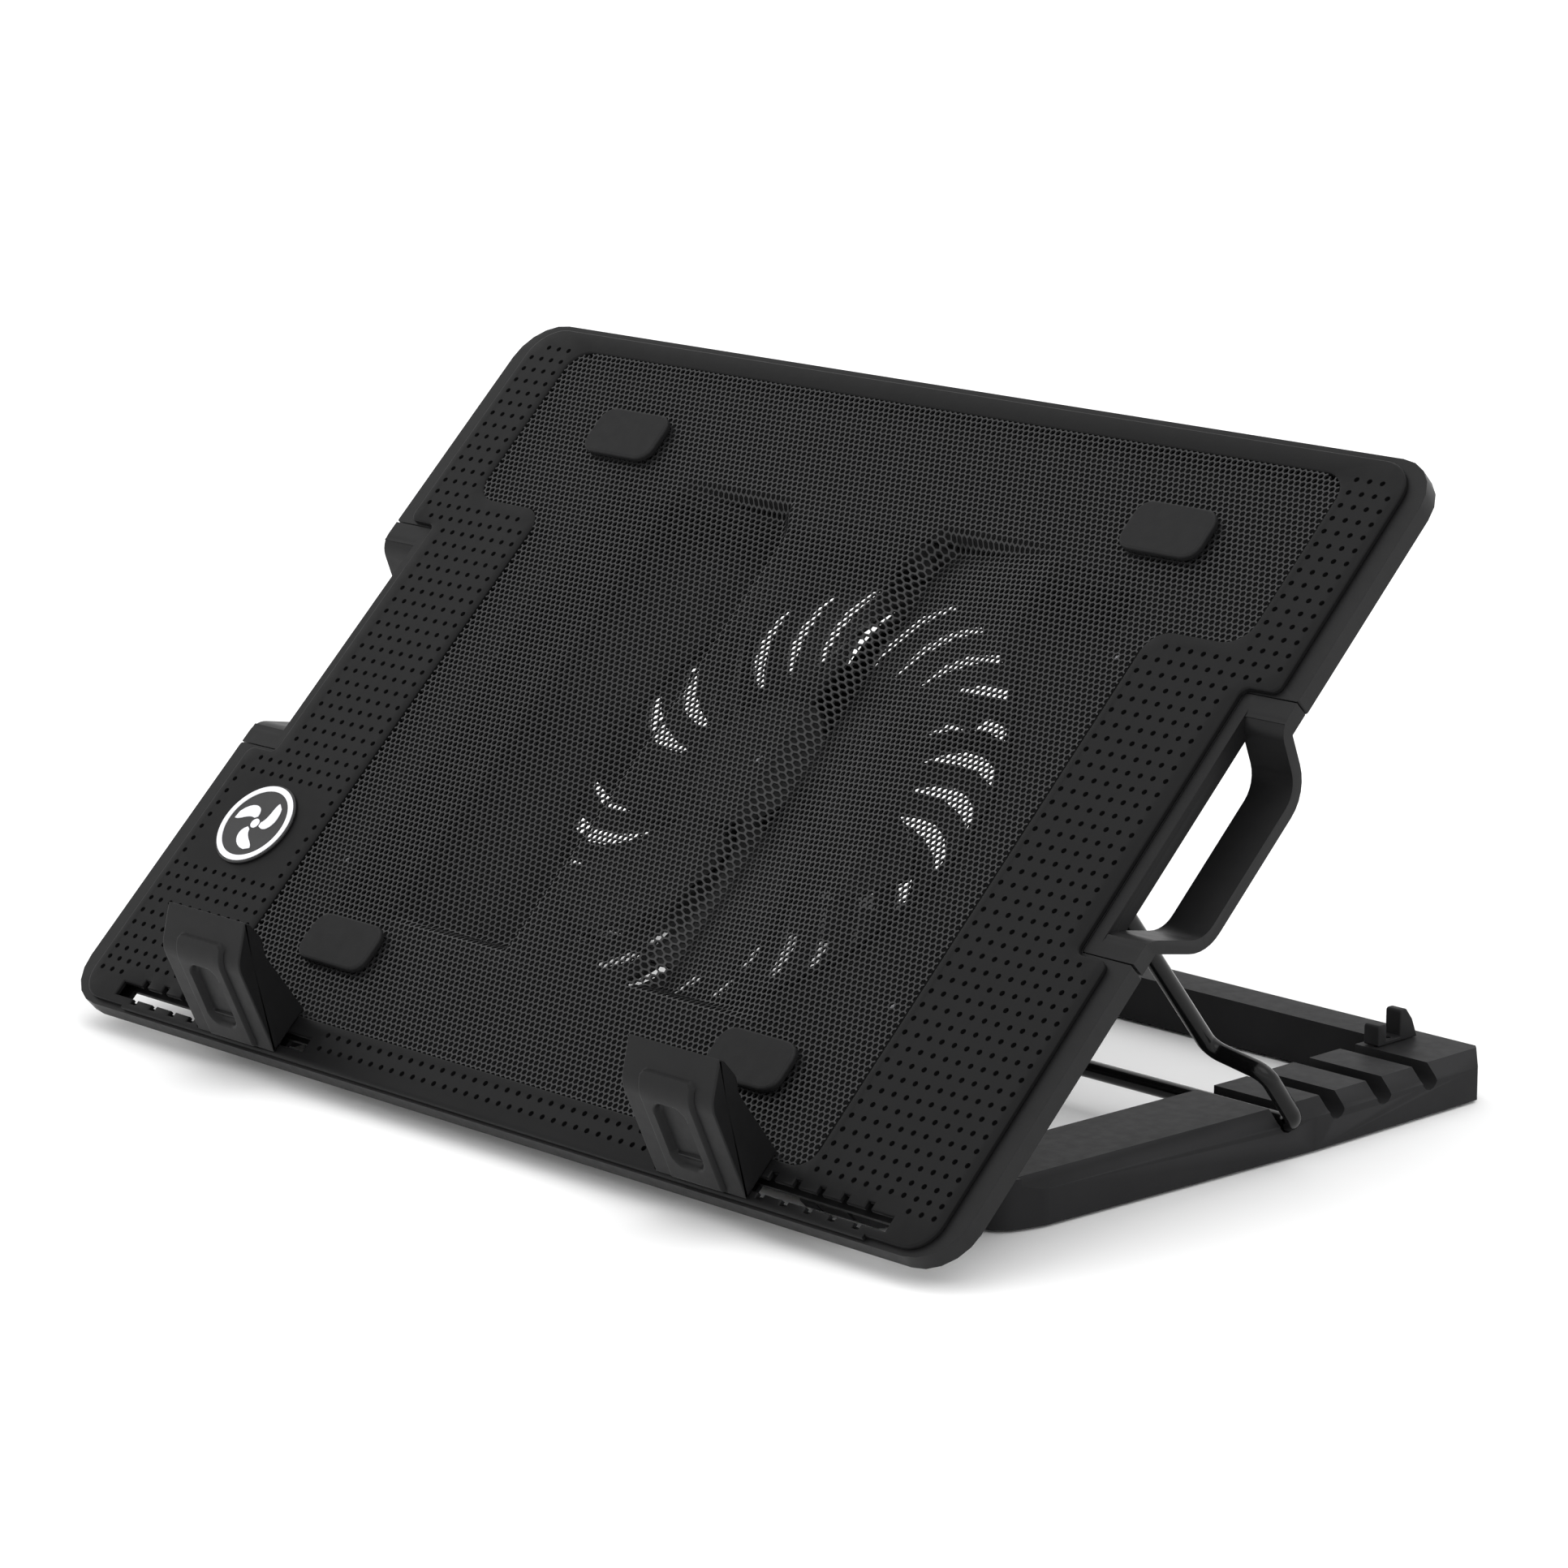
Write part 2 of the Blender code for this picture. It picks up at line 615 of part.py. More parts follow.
def make_badge():
    plate("badge", [disc_outline(0.0155, 36)], COVER_TOP + FIT, COVER_TOP + 0.0011, DECK, PRINT,
          location=(-0.1639, 0.0755, 0))


# ---- handles ------------------------------------------------------------------------
def ribbon_outline():
    """Side view of a handle's strap: level, down an S-bend, along and up again."""
    bottom = HANDLE_DROP
    line = [(HANDLE_FRONT, 0), (HANDLE_FRONT + 0.0085, 0, 0.010), (0.1275, -bottom, 0.011),
            (0.1815, -bottom, 0.010), (HANDLE_REAR - 0.0095, 0, 0.007), (HANDLE_REAR, 0)]
    top = [Vector(p) for p in fillet(line, 0, 6, closed=False)]
    lower = []
    for i, point in enumerate(top):
        before, after = top[max(i - 1, 0)], top[min(i + 1, len(top) - 1)]
        run = (after - before).normalized()
        lower.append((point.x + run.y * RIBBON, point.y - run.x * RIBBON))
    return [tuple(p) for p in top] + lower[::-1]


def make_handle(side, word):
    low, high = sorted((side * (HANDLE_INNER + HANDLE_BAR), side * HALF))
    handle = plate(f"handle_{word}", [ribbon_outline()], low, high, DECK, CASING, along_x=True)
    bar = box_outline(side * HANDLE_INNER, side * (HANDLE_INNER + HANDLE_BAR + 0.0006),
                      HANDLE_FRONT, HANDLE_REAR, 0.0008, 2)
    combine(handle, plate_mesh([bar], -RIM_HEIGHT, 0), "UNION")
    for start, end in ((HANDLE_FRONT, HANDLE_FRONT + 0.0075), (HANDLE_REAR - 0.0075, HANDLE_REAR)):
        block = box_outline(side * (HANDLE_INNER + 0.001), side * HALF, start, end)
        combine(handle, plate_mesh([block], -0.0055, -0.0002), "UNION")


# ---- stoppers -----------------------------------------------------------------------
def make_stopper(side, word):
    """A wedge that holds the laptop's front edge; its stem slides in the deck's slot."""
    axis = make_empty(f"stopper_slide_{word}", DECK, (side * STOPPER_X[side], 0, 0))
    floor = COVER_TOP + FIT
    half = STOPPER_WIDTH / 2
    outline = [(0.0016, floor, 0), (0.0121, 0.0331, 0.009), (0.0238, 0.0407, 0.0006),
               (0.0246, 0.0390, 0.0006), (0.0244, 0.0318, 0.004), (0.0213, 0.0265, 0.006),
               (0.0197, 0.0129, 0.020), (0.0185, floor, 0)]
    stopper = plate(f"stopper_{word}", [fillet(outline, 0, 5)], -half, half, axis, CASING, along_x=True)
    hollow = [(0.0048, -0.001, 0), (0.0125, 0.0250, 0.004), (0.0175, 0.0250, 0.002), (0.0162, -0.001, 0)]
    combine(stopper, plate_mesh([fillet(hollow, 0, 3)], -half + 0.002, half - 0.002, along_x=True))
    stem = box_outline(-0.0095, 0.0095, SLOT_FRONT + 0.0008, SLOT_BACK - 0.0008)
    combine(stopper, plate_mesh([stem], SLAB_LOW - FIT - 0.0002, 0.012), "UNION")
    foot = box_outline(-0.0125, 0.0125, 0.0031, 0.0130, 0.001, 2)
    combine(stopper, plate_mesh([foot], SLAB_LOW - FIT - 0.0014, SLAB_LOW - FIT), "UNION")


# ---- bail ---------------------------------------------------------------------------
def make_bail():
    """The wire prop: two legs with an outward step, joined by a bar."""
    step_start, step_end = 0.0705, 0.0845
    half = [(0.150, 0, 0), (LEG_X, 0, 0), (LEG_X, step_start, 0), (FOOT_X, step_end, 0),
            (FOOT_X, BAIL_LENGTH, 0), (0.10, BAIL_LENGTH, 0)]
    bends = [0, 0.0055, 0.012, 0.012, 0.0065, 0]
    flat = [(p[0], p[1], r) for p, r in zip(half, bends)]
    right = fillet(flat, 0, 5, closed=False)
    path = right + [(-x, y) for x, y in reversed(right)]
    mesh = wire_mesh([(x, y, 0) for x, y in path], WIRE_RADIUS, 2)
    add_object("bail", mesh, BAIL_AXIS, WIRE)


def make_bail_bracket(side, word):
    """A block under the deck with the bore in which a leg's end turns."""
    y, z = BAIL_PIVOT
    outline = [(y - 0.011, SLAB_LOW - FIT), (y - 0.0052, z - 0.0054, 0.005),
               (y + 0.0052, z - 0.0054, 0.005), (y + 0.011, SLAB_LOW - FIT)]
    bracket = plate(f"bail_bracket_{word}", [fillet(outline, 0, 4)], -0.005, 0.005, DECK, CASING,
                    along_x=True, location=(side * 0.1545, 0, 0))
    combine(bracket, rod_mesh(WIRE_RADIUS + 0.0002, -0.007, 0.007, 24, "X", y, z))
    for start, end in ((y - 0.017, y - 0.008), (y + 0.008, y + 0.017)):
        ear = box_outline(-0.005, 0.005, start, end, 0.001, 2)
        combine(bracket, plate_mesh([ear], SLAB_LOW - FIT - 0.0018, SLAB_LOW - FIT), "UNION")
    for end, place in (("front", y - 0.0135), ("rear", y + 0.0135)):
        combine(bracket, rod_mesh(0.0015, -0.012, -0.004, 12, "Z", 0, place))
        head = SLAB_LOW - FIT - 0.0018 - FIT
        add_screw(f"bracket_screw_{end}_{word}", (side * 0.1545, place, head), 0.0028, 0.0022)
        hole = rod_mesh(0.0015, -0.007, -0.0045, 12, "Z", side * 0.1545, place)
        combine(bpy.data.objects["lower_shell"], hole)


def make_hinge_bracket(side, word):
    """The deck's half of a hinge: an ear that drops from the casing to the pin."""
    y, z = HINGE_IN_DECK
    boss = 0.0062
    top = SLAB_LOW - FIT
    arc = [math.radians(180 + 30 * i) for i in range(7)]
    nose = [(y + boss * math.cos(a), z + boss * math.sin(a)) for a in arc]
    outline = nose + [(y + boss, -0.012), (y + 0.012, top), (y - 0.005, top), (y - boss, -0.012)]
    ear = plate(f"hinge_bracket_{word}", [outline], -0.0067, 0.0067, DECK, CASING,
                along_x=True, location=(side * HINGE_X, 0, 0))
    combine(ear, rod_mesh(PIN_RADIUS + 0.0002, -0.008, 0.008, 20, "X", y, z))


# ---- fan ----------------------------------------------------------------------------
HOUSING_X = 0.119
HOUSING_FRONT = 0.0565
HOUSING_REAR = 0.2311
HOUSING_WALL = 0.0016
FLANGE_X = 0.1262
FLANGE_FRONT = 0.0520
FLANGE_REAR = 0.2333
FLANGE_LOW = -0.0073


def make_fan_housing():
    """A deep tray hung by its flange under the air opening, with a round hole in its floor."""
    wall = HOUSING_WALL
    tub = box_outline(-HOUSING_X, HOUSING_X, HOUSING_FRONT, HOUSING_REAR, 0.007)
    flange = box_outline(-FLANGE_X, FLANGE_X, FLANGE_FRONT, FLANGE_REAR, 0.004)
    inner = box_outline(-HOUSING_X + wall, HOUSING_X - wall, HOUSING_FRONT + wall,
                        HOUSING_REAR - wall, 0.0055)
    housing = plate("fan_housing", [tub], GRILLE_LOW, SLAB_LOW - FIT - 0.0005, DECK, CASING)
    combine(housing, plate_mesh([flange], FLANGE_LOW, SLAB_LOW - FIT), "UNION")
    combine(housing, plate_mesh([inner], GRILLE_HIGH, 0))
    combine(housing, rod_mesh(DUCT_RADIUS, -0.03, -0.02, 56, "Z", FAN_X, FAN_Y))


def make_fan_ring():
    """A flat ring on the tray's floor that keeps the grille in its hole, notched for the lead."""
    low, high = GRILLE_HIGH + FIT, GRILLE_HIGH + FIT + 0.0016
    inner, outer = DUCT_RADIUS - 0.0007, DUCT_RADIUS + 0.0016
    profile = [(outer, high), (outer, low), (inner, low), (inner, high)]
    ring = add_object("fan_ring", turned_mesh(profile, 56), FAN_AXIS, CASING)
    notch = box_outline(-outer - 0.001, -inner + 0.001, -0.0012, 0.0012)
    combine(ring, plate_mesh([notch], low - 0.001, high + 0.001))


def vent_slot(index):
    """One crescent-shaped slot of the grille, leaning with the air's swirl."""
    inner, outer, lean, opening = 0.0490, 0.0792, math.radians(10.5), math.radians(5.4)
    start = 2 * math.pi * index / VENT_SLOTS
    edge, back = [], []
    for step in range(5):
        share = step / 4
        radius = inner + (outer - inner) * share
        middle = start - lean * share ** 2.4
        half = opening * (0.25 + 0.75 * math.sin(math.pi * (0.05 + 0.75 * share))) / 2
        edge.append((radius * math.cos(middle + half), radius * math.sin(middle + half)))
        back.append((radius * math.cos(middle - half), radius * math.sin(middle - half)))
    return edge + back[::-1]


def make_vent_grille():
    slots = [vent_slot(i) for i in range(VENT_SLOTS)]
    outlines = [disc_outline(DUCT_RADIUS - FIT, 56)] + slots
    plate("vent_grille", outlines, GRILLE_LOW, GRILLE_HIGH, FAN_AXIS, CASING)


def blade_mesh(index):
    """A swept, pitched blade, thin all over."""
    rings, chords = 5, 4
    edit = bmesh.new()
    grid = []
    for i in range(rings):
        share = i / (rings - 1)
        radius = HUB_RADIUS - 0.0012 + (BLADE_TIP - HUB_RADIUS + 0.0012) * share
        sweep = -0.42 * share ** 1.4
        span = math.radians(26 - 10 * share)
        row = []
        for j in range(chords):
            turn = 2 * math.pi * index / BLADES + sweep + span * (j / (chords - 1) - 0.5)
            rise = 0.0130 * (0.5 - j / (chords - 1)) * (1 - 0.10 * share)
            height = (HUB_TOP + HUB_LOW) / 2 + 0.0012 + rise
            row.append(edit.verts.new((radius * math.cos(turn), radius * math.sin(turn), height)))
        grid.append(row)
    for inner, outer in zip(grid, grid[1:]):
        for j in range(chords - 1):
            edit.faces.new((inner[j], outer[j], outer[j + 1], inner[j + 1]))
    lower = bmesh.ops.extrude_face_region(edit, geom=edit.faces[:])["geom"]
    lower = [v for v in lower if isinstance(v, bmesh.types.BMVert)]
    bmesh.ops.translate(edit, verts=lower, vec=(0, 0, -0.0014))
    bmesh.ops.recalc_face_normals(edit, faces=edit.faces)
    mesh = bpy.data.meshes.new("blade")
    edit.to_mesh(mesh)
    edit.free()
    return mesh


def make_fan_rotor():
    roof = 0.0016
    cup = turned_mesh([(HUB_RADIUS, HUB_TOP - 0.0008), (HUB_RADIUS, HUB_LOW),
                       (HUB_RADIUS - 0.002, HUB_LOW), (HUB_RADIUS - 0.002, HUB_TOP - roof),
                       (0.0018, HUB_TOP - roof), (0.0018, HUB_TOP), (HUB_RADIUS - 0.0008, HUB_TOP)], 48)
    rotor = add_object("fan_rotor", cup, FAN_AXIS, BLACK)
    for index in range(BLADES):
        combine(rotor, blade_mesh(index), "UNION")
    magnet = turned_mesh([(HUB_RADIUS - 0.0023, HUB_TOP - roof - 0.001), (HUB_RADIUS - 0.0023, HUB_LOW),
                          (HUB_RADIUS - 0.004, HUB_LOW), (HUB_RADIUS - 0.004, HUB_TOP - roof - 0.001)], 36)
    add_object("rotor_magnet", magnet, FAN_AXIS, STEEL)
    shaft = rod_mesh(0.0015, GRILLE_HIGH + 0.0014, HUB_TOP, 16)
    add_object("rotor_shaft", shaft, FAN_AXIS, STEEL)


def make_motor():
    board = turned_mesh([(0.0205, GRILLE_HIGH + FIT + 0.001), (0.0205, GRILLE_HIGH + FIT),
                         (0.0068, GRILLE_HIGH + FIT), (0.0068, GRILLE_HIGH + FIT + 0.001)], 36)
    add_object("motor_board", board, FAN_AXIS, BOARD)
    sleeve = turned_mesh([(0.0042, HUB_TOP - 0.0025), (0.0042, GRILLE_HIGH + 0.0018),
                          (0.0017, GRILLE_HIGH + 0.0018), (0.0017, HUB_TOP - 0.0025)], 24)
    add_object("sleeve_bearing", sleeve, FAN_AXIS, COPPER)
    poles = []
    for i in range(4):
        for turn, radius in ((-0.55, 0.0178), (0, 0.0184), (0.55, 0.0178), (0.70, 0.0085)):
            angle = math.pi / 2 * i + turn
            poles.append((radius * math.cos(angle), radius * math.sin(angle)))
    plate("motor_stator", [poles, disc_outline(0.0045, 24)], -0.0215, -0.0135, FAN_AXIS, COPPER)


# ---- controls -----------------------------------------------------------------------
def make_controls():
    """The speed control under the deck's rear edge: box, board, dial and inlet."""
    wall = 0.0016
    x0, x1 = CONTROL_X - 0.023, CONTROL_X + 0.023
    y0, y1 = 0.2565, 0.2835
    outer = box_outline(x0, x1, y0, y1, 0.003)
    inner = box_outline(x0 + wall, x1 - wall, y0 + wall, y1 - wall, 0.002)
    box = plate("control_box", [outer], CONTROL_LOW, SLAB_LOW - FIT, DECK, CASING)
    combine(box, plate_mesh([inner], CONTROL_LOW + wall, 0))
    dial_x, dial_y, inlet_x = CONTROL_X + 0.010, 0.2782, CONTROL_X - 0.012
    combine(box, plate_mesh([box_outline(dial_x - 0.0105, dial_x + 0.0105, y1 - 0.003, y1 + 0.002)],
                            -0.0140, -0.0096))
    combine(box, plate_mesh([box_outline(inlet_x - 0.0048, inlet_x + 0.0048, y1 - 0.003, y1 + 0.002)],
                            -0.0146, -0.0096))
    board = plate("control_board", [box_outline(x0 + 0.0025, x1 - 0.0025, y0 + 0.0025, y1 - 0.0025)],
                  -0.0092, -0.0080, DECK, BOARD)
    combine(board, rod_mesh(0.0012, -0.010, -0.006, 12, "Z", CONTROL_X, 0.262))
    axis = make_empty("dial_axis", DECK, (dial_x, dial_y, 0))
    ridges = 24
    rim = []
    for i in range(ridges * 2):
        radius = 0.0092 if i % 2 else 0.0088
        rim.append((radius * math.cos(math.pi * i / ridges), radius * math.sin(math.pi * i / ridges)))
    dial = plate("speed_dial", [rim], -0.0135, -0.0101, axis, BLACK)
    combine(dial, rod_mesh(0.0022, -0.0102, -0.0095, 16), "UNION")
    socket = plate("power_inlet", [box_outline(inlet_x - 0.0045, inlet_x + 0.0045, 0.2722, 0.2842)],
                   -0.0143, -0.0099, DECK, STEEL)
    mouth = box_outline(inlet_x - 0.0040, inlet_x + 0.0040, 0.2740, 0.2900)
    combine(socket, plate_mesh([mouth], -0.0138, -0.0104))


def make_fan_lead():
    """The two-core lead from the motor to the control board, held in the casing all the way."""
    low, high = GRILLE_HIGH + 0.0010, -0.0028
    wall_x = -HOUSING_X + HOUSING_WALL + 0.0016
    route = [Vector(p) for p in (
        (FAN_X - 0.0212, FAN_Y, low), (-0.050, FAN_Y, low), (wall_x, FAN_Y, low),
        (wall_x, FAN_Y, high), (-0.121, 0.180, high), (-0.122, 0.215, high),
        (CONTROL_X, 0.250, high), (CONTROL_X, 0.262, high), (CONTROL_X, 0.262, -0.0078))]
    path = [route[0]]
    for before, corner, after in zip(route, route[1:], route[2:]):
        reach = min(0.0030, (corner - before).length * 0.45, (after - corner).length * 0.45)
        start = corner + (before - corner).normalized() * reach
        end = corner + (after - corner).normalized() * reach
        for step in range(4):
            share = step / 3
            path.append((start * (1 - share) + corner * share) * (1 - share)
                        + (corner * (1 - share) + end * share) * share)
    path.append(route[-1])
    add_object("fan_lead", wire_mesh([tuple(p) for p in path], 0.0007, 1), DECK, BLACK)


def make_housing_screws():
    """Four screws that hold the fan housing's flange to the casing, from below."""
    for side, word in SIDES:
        for place, y in (("front", 0.075), ("rear", 0.205)):
            x = side * 0.1226
            add_screw(f"housing_screw_{place}_{word}", (x, y, FLANGE_LOW - FIT), 0.0034)
            for holder in ("fan_housing", "lower_shell"):
                combine(bpy.data.objects[holder], rod_mesh(0.0015, -0.012, -0.003, 12, "Z", x, y))


# ---- assembly -----------------------------------------------------------------------
def build():
    make_base()
    make_feet()
    make_hinge_pins()
    make_lower_shell()
    make_top_cover()
    make_mesh_panel()
    make_pads()
    make_badge()
    make_bail()
    make_fan_housing()
    make_fan_ring()
    make_vent_grille()
    make_fan_rotor()
    make_motor()
    make_controls()
    make_fan_lead()
    make_housing_screws()
    for side, word in SIDES:
        make_bar_clip(side, word)
        make_handle(side, word)
        make_stopper(side, word)
        make_bail_bracket(side, word)
        make_hinge_bracket(side, word)


build()
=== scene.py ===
"""The laptop cooling pad's visible pieces, finishes, light and camera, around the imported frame."""
import json
import math

import bmesh
import bpy
import numpy as np
from mathutils import Matrix, Vector
from mathutils.geometry import delaunay_2d_cdt


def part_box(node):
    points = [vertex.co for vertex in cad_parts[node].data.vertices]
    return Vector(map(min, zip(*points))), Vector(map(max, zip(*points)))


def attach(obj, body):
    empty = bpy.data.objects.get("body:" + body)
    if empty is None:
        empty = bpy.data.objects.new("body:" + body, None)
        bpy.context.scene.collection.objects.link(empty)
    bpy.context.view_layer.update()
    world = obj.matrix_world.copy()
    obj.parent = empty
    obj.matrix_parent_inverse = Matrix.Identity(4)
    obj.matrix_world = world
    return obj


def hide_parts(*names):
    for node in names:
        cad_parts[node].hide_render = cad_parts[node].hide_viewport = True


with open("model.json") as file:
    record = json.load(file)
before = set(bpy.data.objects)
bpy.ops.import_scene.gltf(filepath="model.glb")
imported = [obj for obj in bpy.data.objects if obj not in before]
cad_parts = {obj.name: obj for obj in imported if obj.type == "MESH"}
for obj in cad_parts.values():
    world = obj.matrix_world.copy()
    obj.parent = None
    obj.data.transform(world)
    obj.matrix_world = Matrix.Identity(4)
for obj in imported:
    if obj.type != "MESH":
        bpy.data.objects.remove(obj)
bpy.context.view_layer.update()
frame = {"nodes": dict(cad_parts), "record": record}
NODES = frame["nodes"]
JOINTS = {joint["name"]: joint for joint in frame["record"]["behaviour"]["joints"]}
SIDES = ((1, "right"), (-1, "left"))

# ---- the deck's frame: X across, Y up the slope, Z out of its face ------------------------
TILT = math.radians(43.5)
HINGE = Vector(JOINTS["deck_tilt"]["pos_m"])
DECK_ORIGIN = HINGE - Vector((0, 0.030, -0.001))
DECK = Matrix.Translation(DECK_ORIGIN) @ Matrix.Rotation(TILT, 4, "X")

# ---- sizes, in metres ---------------------------------------------------------------------
FIT = 0.0003
DRAFT = 0.0002
HANDLE_FRONT, HANDLE_REAR, HANDLE_INNER = 0.105, 0.199, 0.1795
COVER_TOP, COVER_LOW = 0.0019, 0.0003
COVER_SIDE, COVER_FRONT, COVER_REAR = 0.1917, 0.0008, 0.2853
JOG_X, JOG_BACK = 0.168, 0.0011
MESH_WIDE, MESH_NARROW = 0.1698, 0.1351
MESH_FRONT, MESH_STEP, MESH_REAR = 0.0160, 0.2135, 0.2778
MESH_TOP, MESH_THICKNESS = 0.0015, 0.0008
RIDGE, FOOT_RUN, BRIM = 0.0270, 0.0065, 0.0835
FLARE, FLARE_START, FLARE_RUN = 0.0055, 0.016, 0.012
DIP, DIP_FRONT, DIP_REAR, DIP_SLOPE = 0.0065, 0.0568, 0.2346, 0.004
CELL, WEB, STRIP_EDGE = 0.002262, 0.00052, 0.055
SLOT_FRONT, SLOT_BACK, SLOT_IN, SLOT_OUT = 0.0048, 0.0098, 0.080, 0.1742
NOTCH, NOTCH_FRONT, NOTCH_BACK = 0.00125, 0.0030, 0.0122
NOTCHES, NOTCH_FIRST, NOTCH_PITCH = 8, 0.0958, 0.0097
DIMPLE, DIMPLE_SIDES, DIMPLE_PITCH = 0.00095, 10, 0.00492
COLUMNS, COLUMN_FIRST, COLUMN_PITCH = 11, 0.1386, 0.00493
ROW_FIRST, ROW_SECOND, ROW_THIRD, ROWS_END = 0.0126, 0.0168, 0.0210, 0.2790
NOSE_ROWS = (0.0073, 0.0123)
COVER_ROUND = 0.0006
BADGE = (-0.1639, 0.0755)


# ---- materials ----------------------------------------------------------------------------
def ramp(tree, source, low, high, start, end):
    """A grey value that runs from low to high as the source runs from start to end."""
    node = tree.nodes.new("ShaderNodeMapRange")
    node.inputs["From Min"].default_value = start
    node.inputs["From Max"].default_value = end
    node.inputs["To Min"].default_value = low
    node.inputs["To Max"].default_value = high
    tree.links.new(source, node.inputs["Value"])
    return node.outputs["Result"]


def noise(tree, place, scale, detail=3.0, rough=0.55):
    node = tree.nodes.new("ShaderNodeTexNoise")
    node.inputs["Scale"].default_value = scale
    node.inputs["Detail"].default_value = detail
    node.inputs["Roughness"].default_value = rough
    tree.links.new(place, node.inputs["Vector"])
    return node.outputs["Fac"]


def mix(tree, factor, first, second):
    node = tree.nodes.new("ShaderNodeMix")
    node.data_type = "RGBA"
    for socket, value in ((node.inputs[6], first), (node.inputs[7], second)):
        if isinstance(value, tuple):
            socket.default_value = (*value, 1.0)
        else:
            tree.links.new(value, socket)
    tree.links.new(factor, node.inputs[0])
    return node.outputs[2]


def finish(name, colour, roughness, grain=1500.0, height=0.00003, mottle=0.08, wear_and_highlight=0.35,
           specular=0.4, metallic=0.0, spread=0.035):
    """A surface with fine grain, broad colour variation and edges painted lighter: partly wear,
    partly a painted edge highlight.
    """
    material = bpy.data.materials.new(name)
    material.use_nodes = True
    tree = material.node_tree
    shader = tree.nodes["Principled BSDF"]
    shader.inputs["Specular IOR Level"].default_value = specular
    shader.inputs["Metallic"].default_value = metallic
    place = tree.nodes.new("ShaderNodeTexCoord").outputs["Object"]
    broad = noise(tree, place, 42.0, 4.0)
    fine = noise(tree, place, grain, 2.0, 0.6)
    middle = noise(tree, place, 260.0, 3.0)
    dark = tuple(c * (1 - mottle) for c in colour)
    light = tuple(c * (1 + mottle) for c in colour)
    # lighter edge colour: part wear, part a painted highlight along convex edges
    worn_and_highlit = tuple(min(1.0, c * 1.8 + 0.006) for c in colour)
    body = mix(tree, ramp(tree, broad, 0, 1, 0.35, 0.65), dark, light)
    speckled = mix(tree, ramp(tree, fine, 0, 0.5, 0.45, 0.75), body, light)
    geometry = tree.nodes.new("ShaderNodeNewGeometry")
    # painted edge highlight and wear: convex edges, found by Pointiness, are mixed towards the
    # lighter colour
    edge = ramp(tree, geometry.outputs["Pointiness"], 0, wear_and_highlight, 0.52, 0.60)
    tree.links.new(mix(tree, edge, speckled, worn_and_highlit), shader.inputs["Base Color"])
    tree.links.new(ramp(tree, middle, roughness - spread, roughness + spread, 0.3, 0.7),
                   shader.inputs["Roughness"])
    bump = tree.nodes.new("ShaderNodeBump")
    bump.inputs["Strength"].default_value = 0.6
    bump.inputs["Distance"].default_value = height
    tree.links.new(fine, bump.inputs["Height"])
    tree.links.new(bump.outputs["Normal"], shader.inputs["Normal"])
    return material


def grey(value):
    """A grey with a trace of blue."""
    return (value, value, value * 1.04)


CASING = finish("casing_plastic", grey(0.0065), 0.44, specular=0.17)
COVER = finish("cover_plastic", grey(0.0046), 0.44, grain=1900.0, specular=0.10)
BASE = finish("base_plastic", grey(0.018), 0.50, specular=0.05)
MESH = finish("mesh_steel", grey(0.013), 0.36, grain=2600.0, height=0.00001, specular=0.30)
WIRE = finish("wire_steel", grey(0.003), 0.18, grain=700.0, height=0.000006, mottle=0.20,
              specular=0.22)
STEEL = finish("bright_steel", grey(0.50), 0.32, grain=2400.0, height=0.000008, metallic=1.0)
RUBBER = finish("rubber", grey(0.0075), 0.60, grain=1300.0, height=0.00004, specular=0.16)
FAN = finish("fan_plastic", grey(0.008), 0.34, grain=1200.0, height=0.00001, specular=0.3)
BOARD = finish("circuit_board", (0.010, 0.028, 0.016), 0.42, grain=900.0, height=0.00002)
COPPER = finish("copper_wire", (0.42, 0.20, 0.10), 0.34, grain=1400.0, metallic=1.0)
PRINT = finish("badge_print", grey(0.78), 0.42, grain=1800.0, height=0.00001, mottle=0.03,
               wear_and_highlight=0.0)
INK = finish("badge_ink", grey(0.012), 0.45, grain=1800.0, height=0.00001, mottle=0.2)

BY_SLOT = {"casing_plastic": CASING, "cover_plastic": COVER, "base_plastic": BASE,
           "mesh_steel": MESH, "wire_steel": WIRE, "bright_steel": STEEL, "rubber": RUBBER,
           "fan_plastic": FAN, "circuit_board": BOARD, "copper_wire": COPPER,
           "badge_print": PRINT}


# ---- frame nodes that stay ----------------------------------------------------------------
def soften(name, width, segments=3, angle=32.0):
    """Round a frame node's edges with modifiers."""
    node = NODES[name]
    weld = node.modifiers.new("weld", "WELD")
    weld.merge_threshold = 0.000004
    planar = node.modifiers.new("planar", "DECIMATE")
    planar.decimate_type = "DISSOLVE"
    planar.angle_limit = math.radians(0.5)
    edge = node.modifiers.new("edge", "BEVEL")
    edge.width = width
    edge.segments = segments
    edge.limit_method = "ANGLE"
    edge.angle_limit = math.radians(angle)
    shade = node.modifiers.new("shade", "WEIGHTED_NORMAL")
    shade.keep_sharp = False
    shade.weight = 70


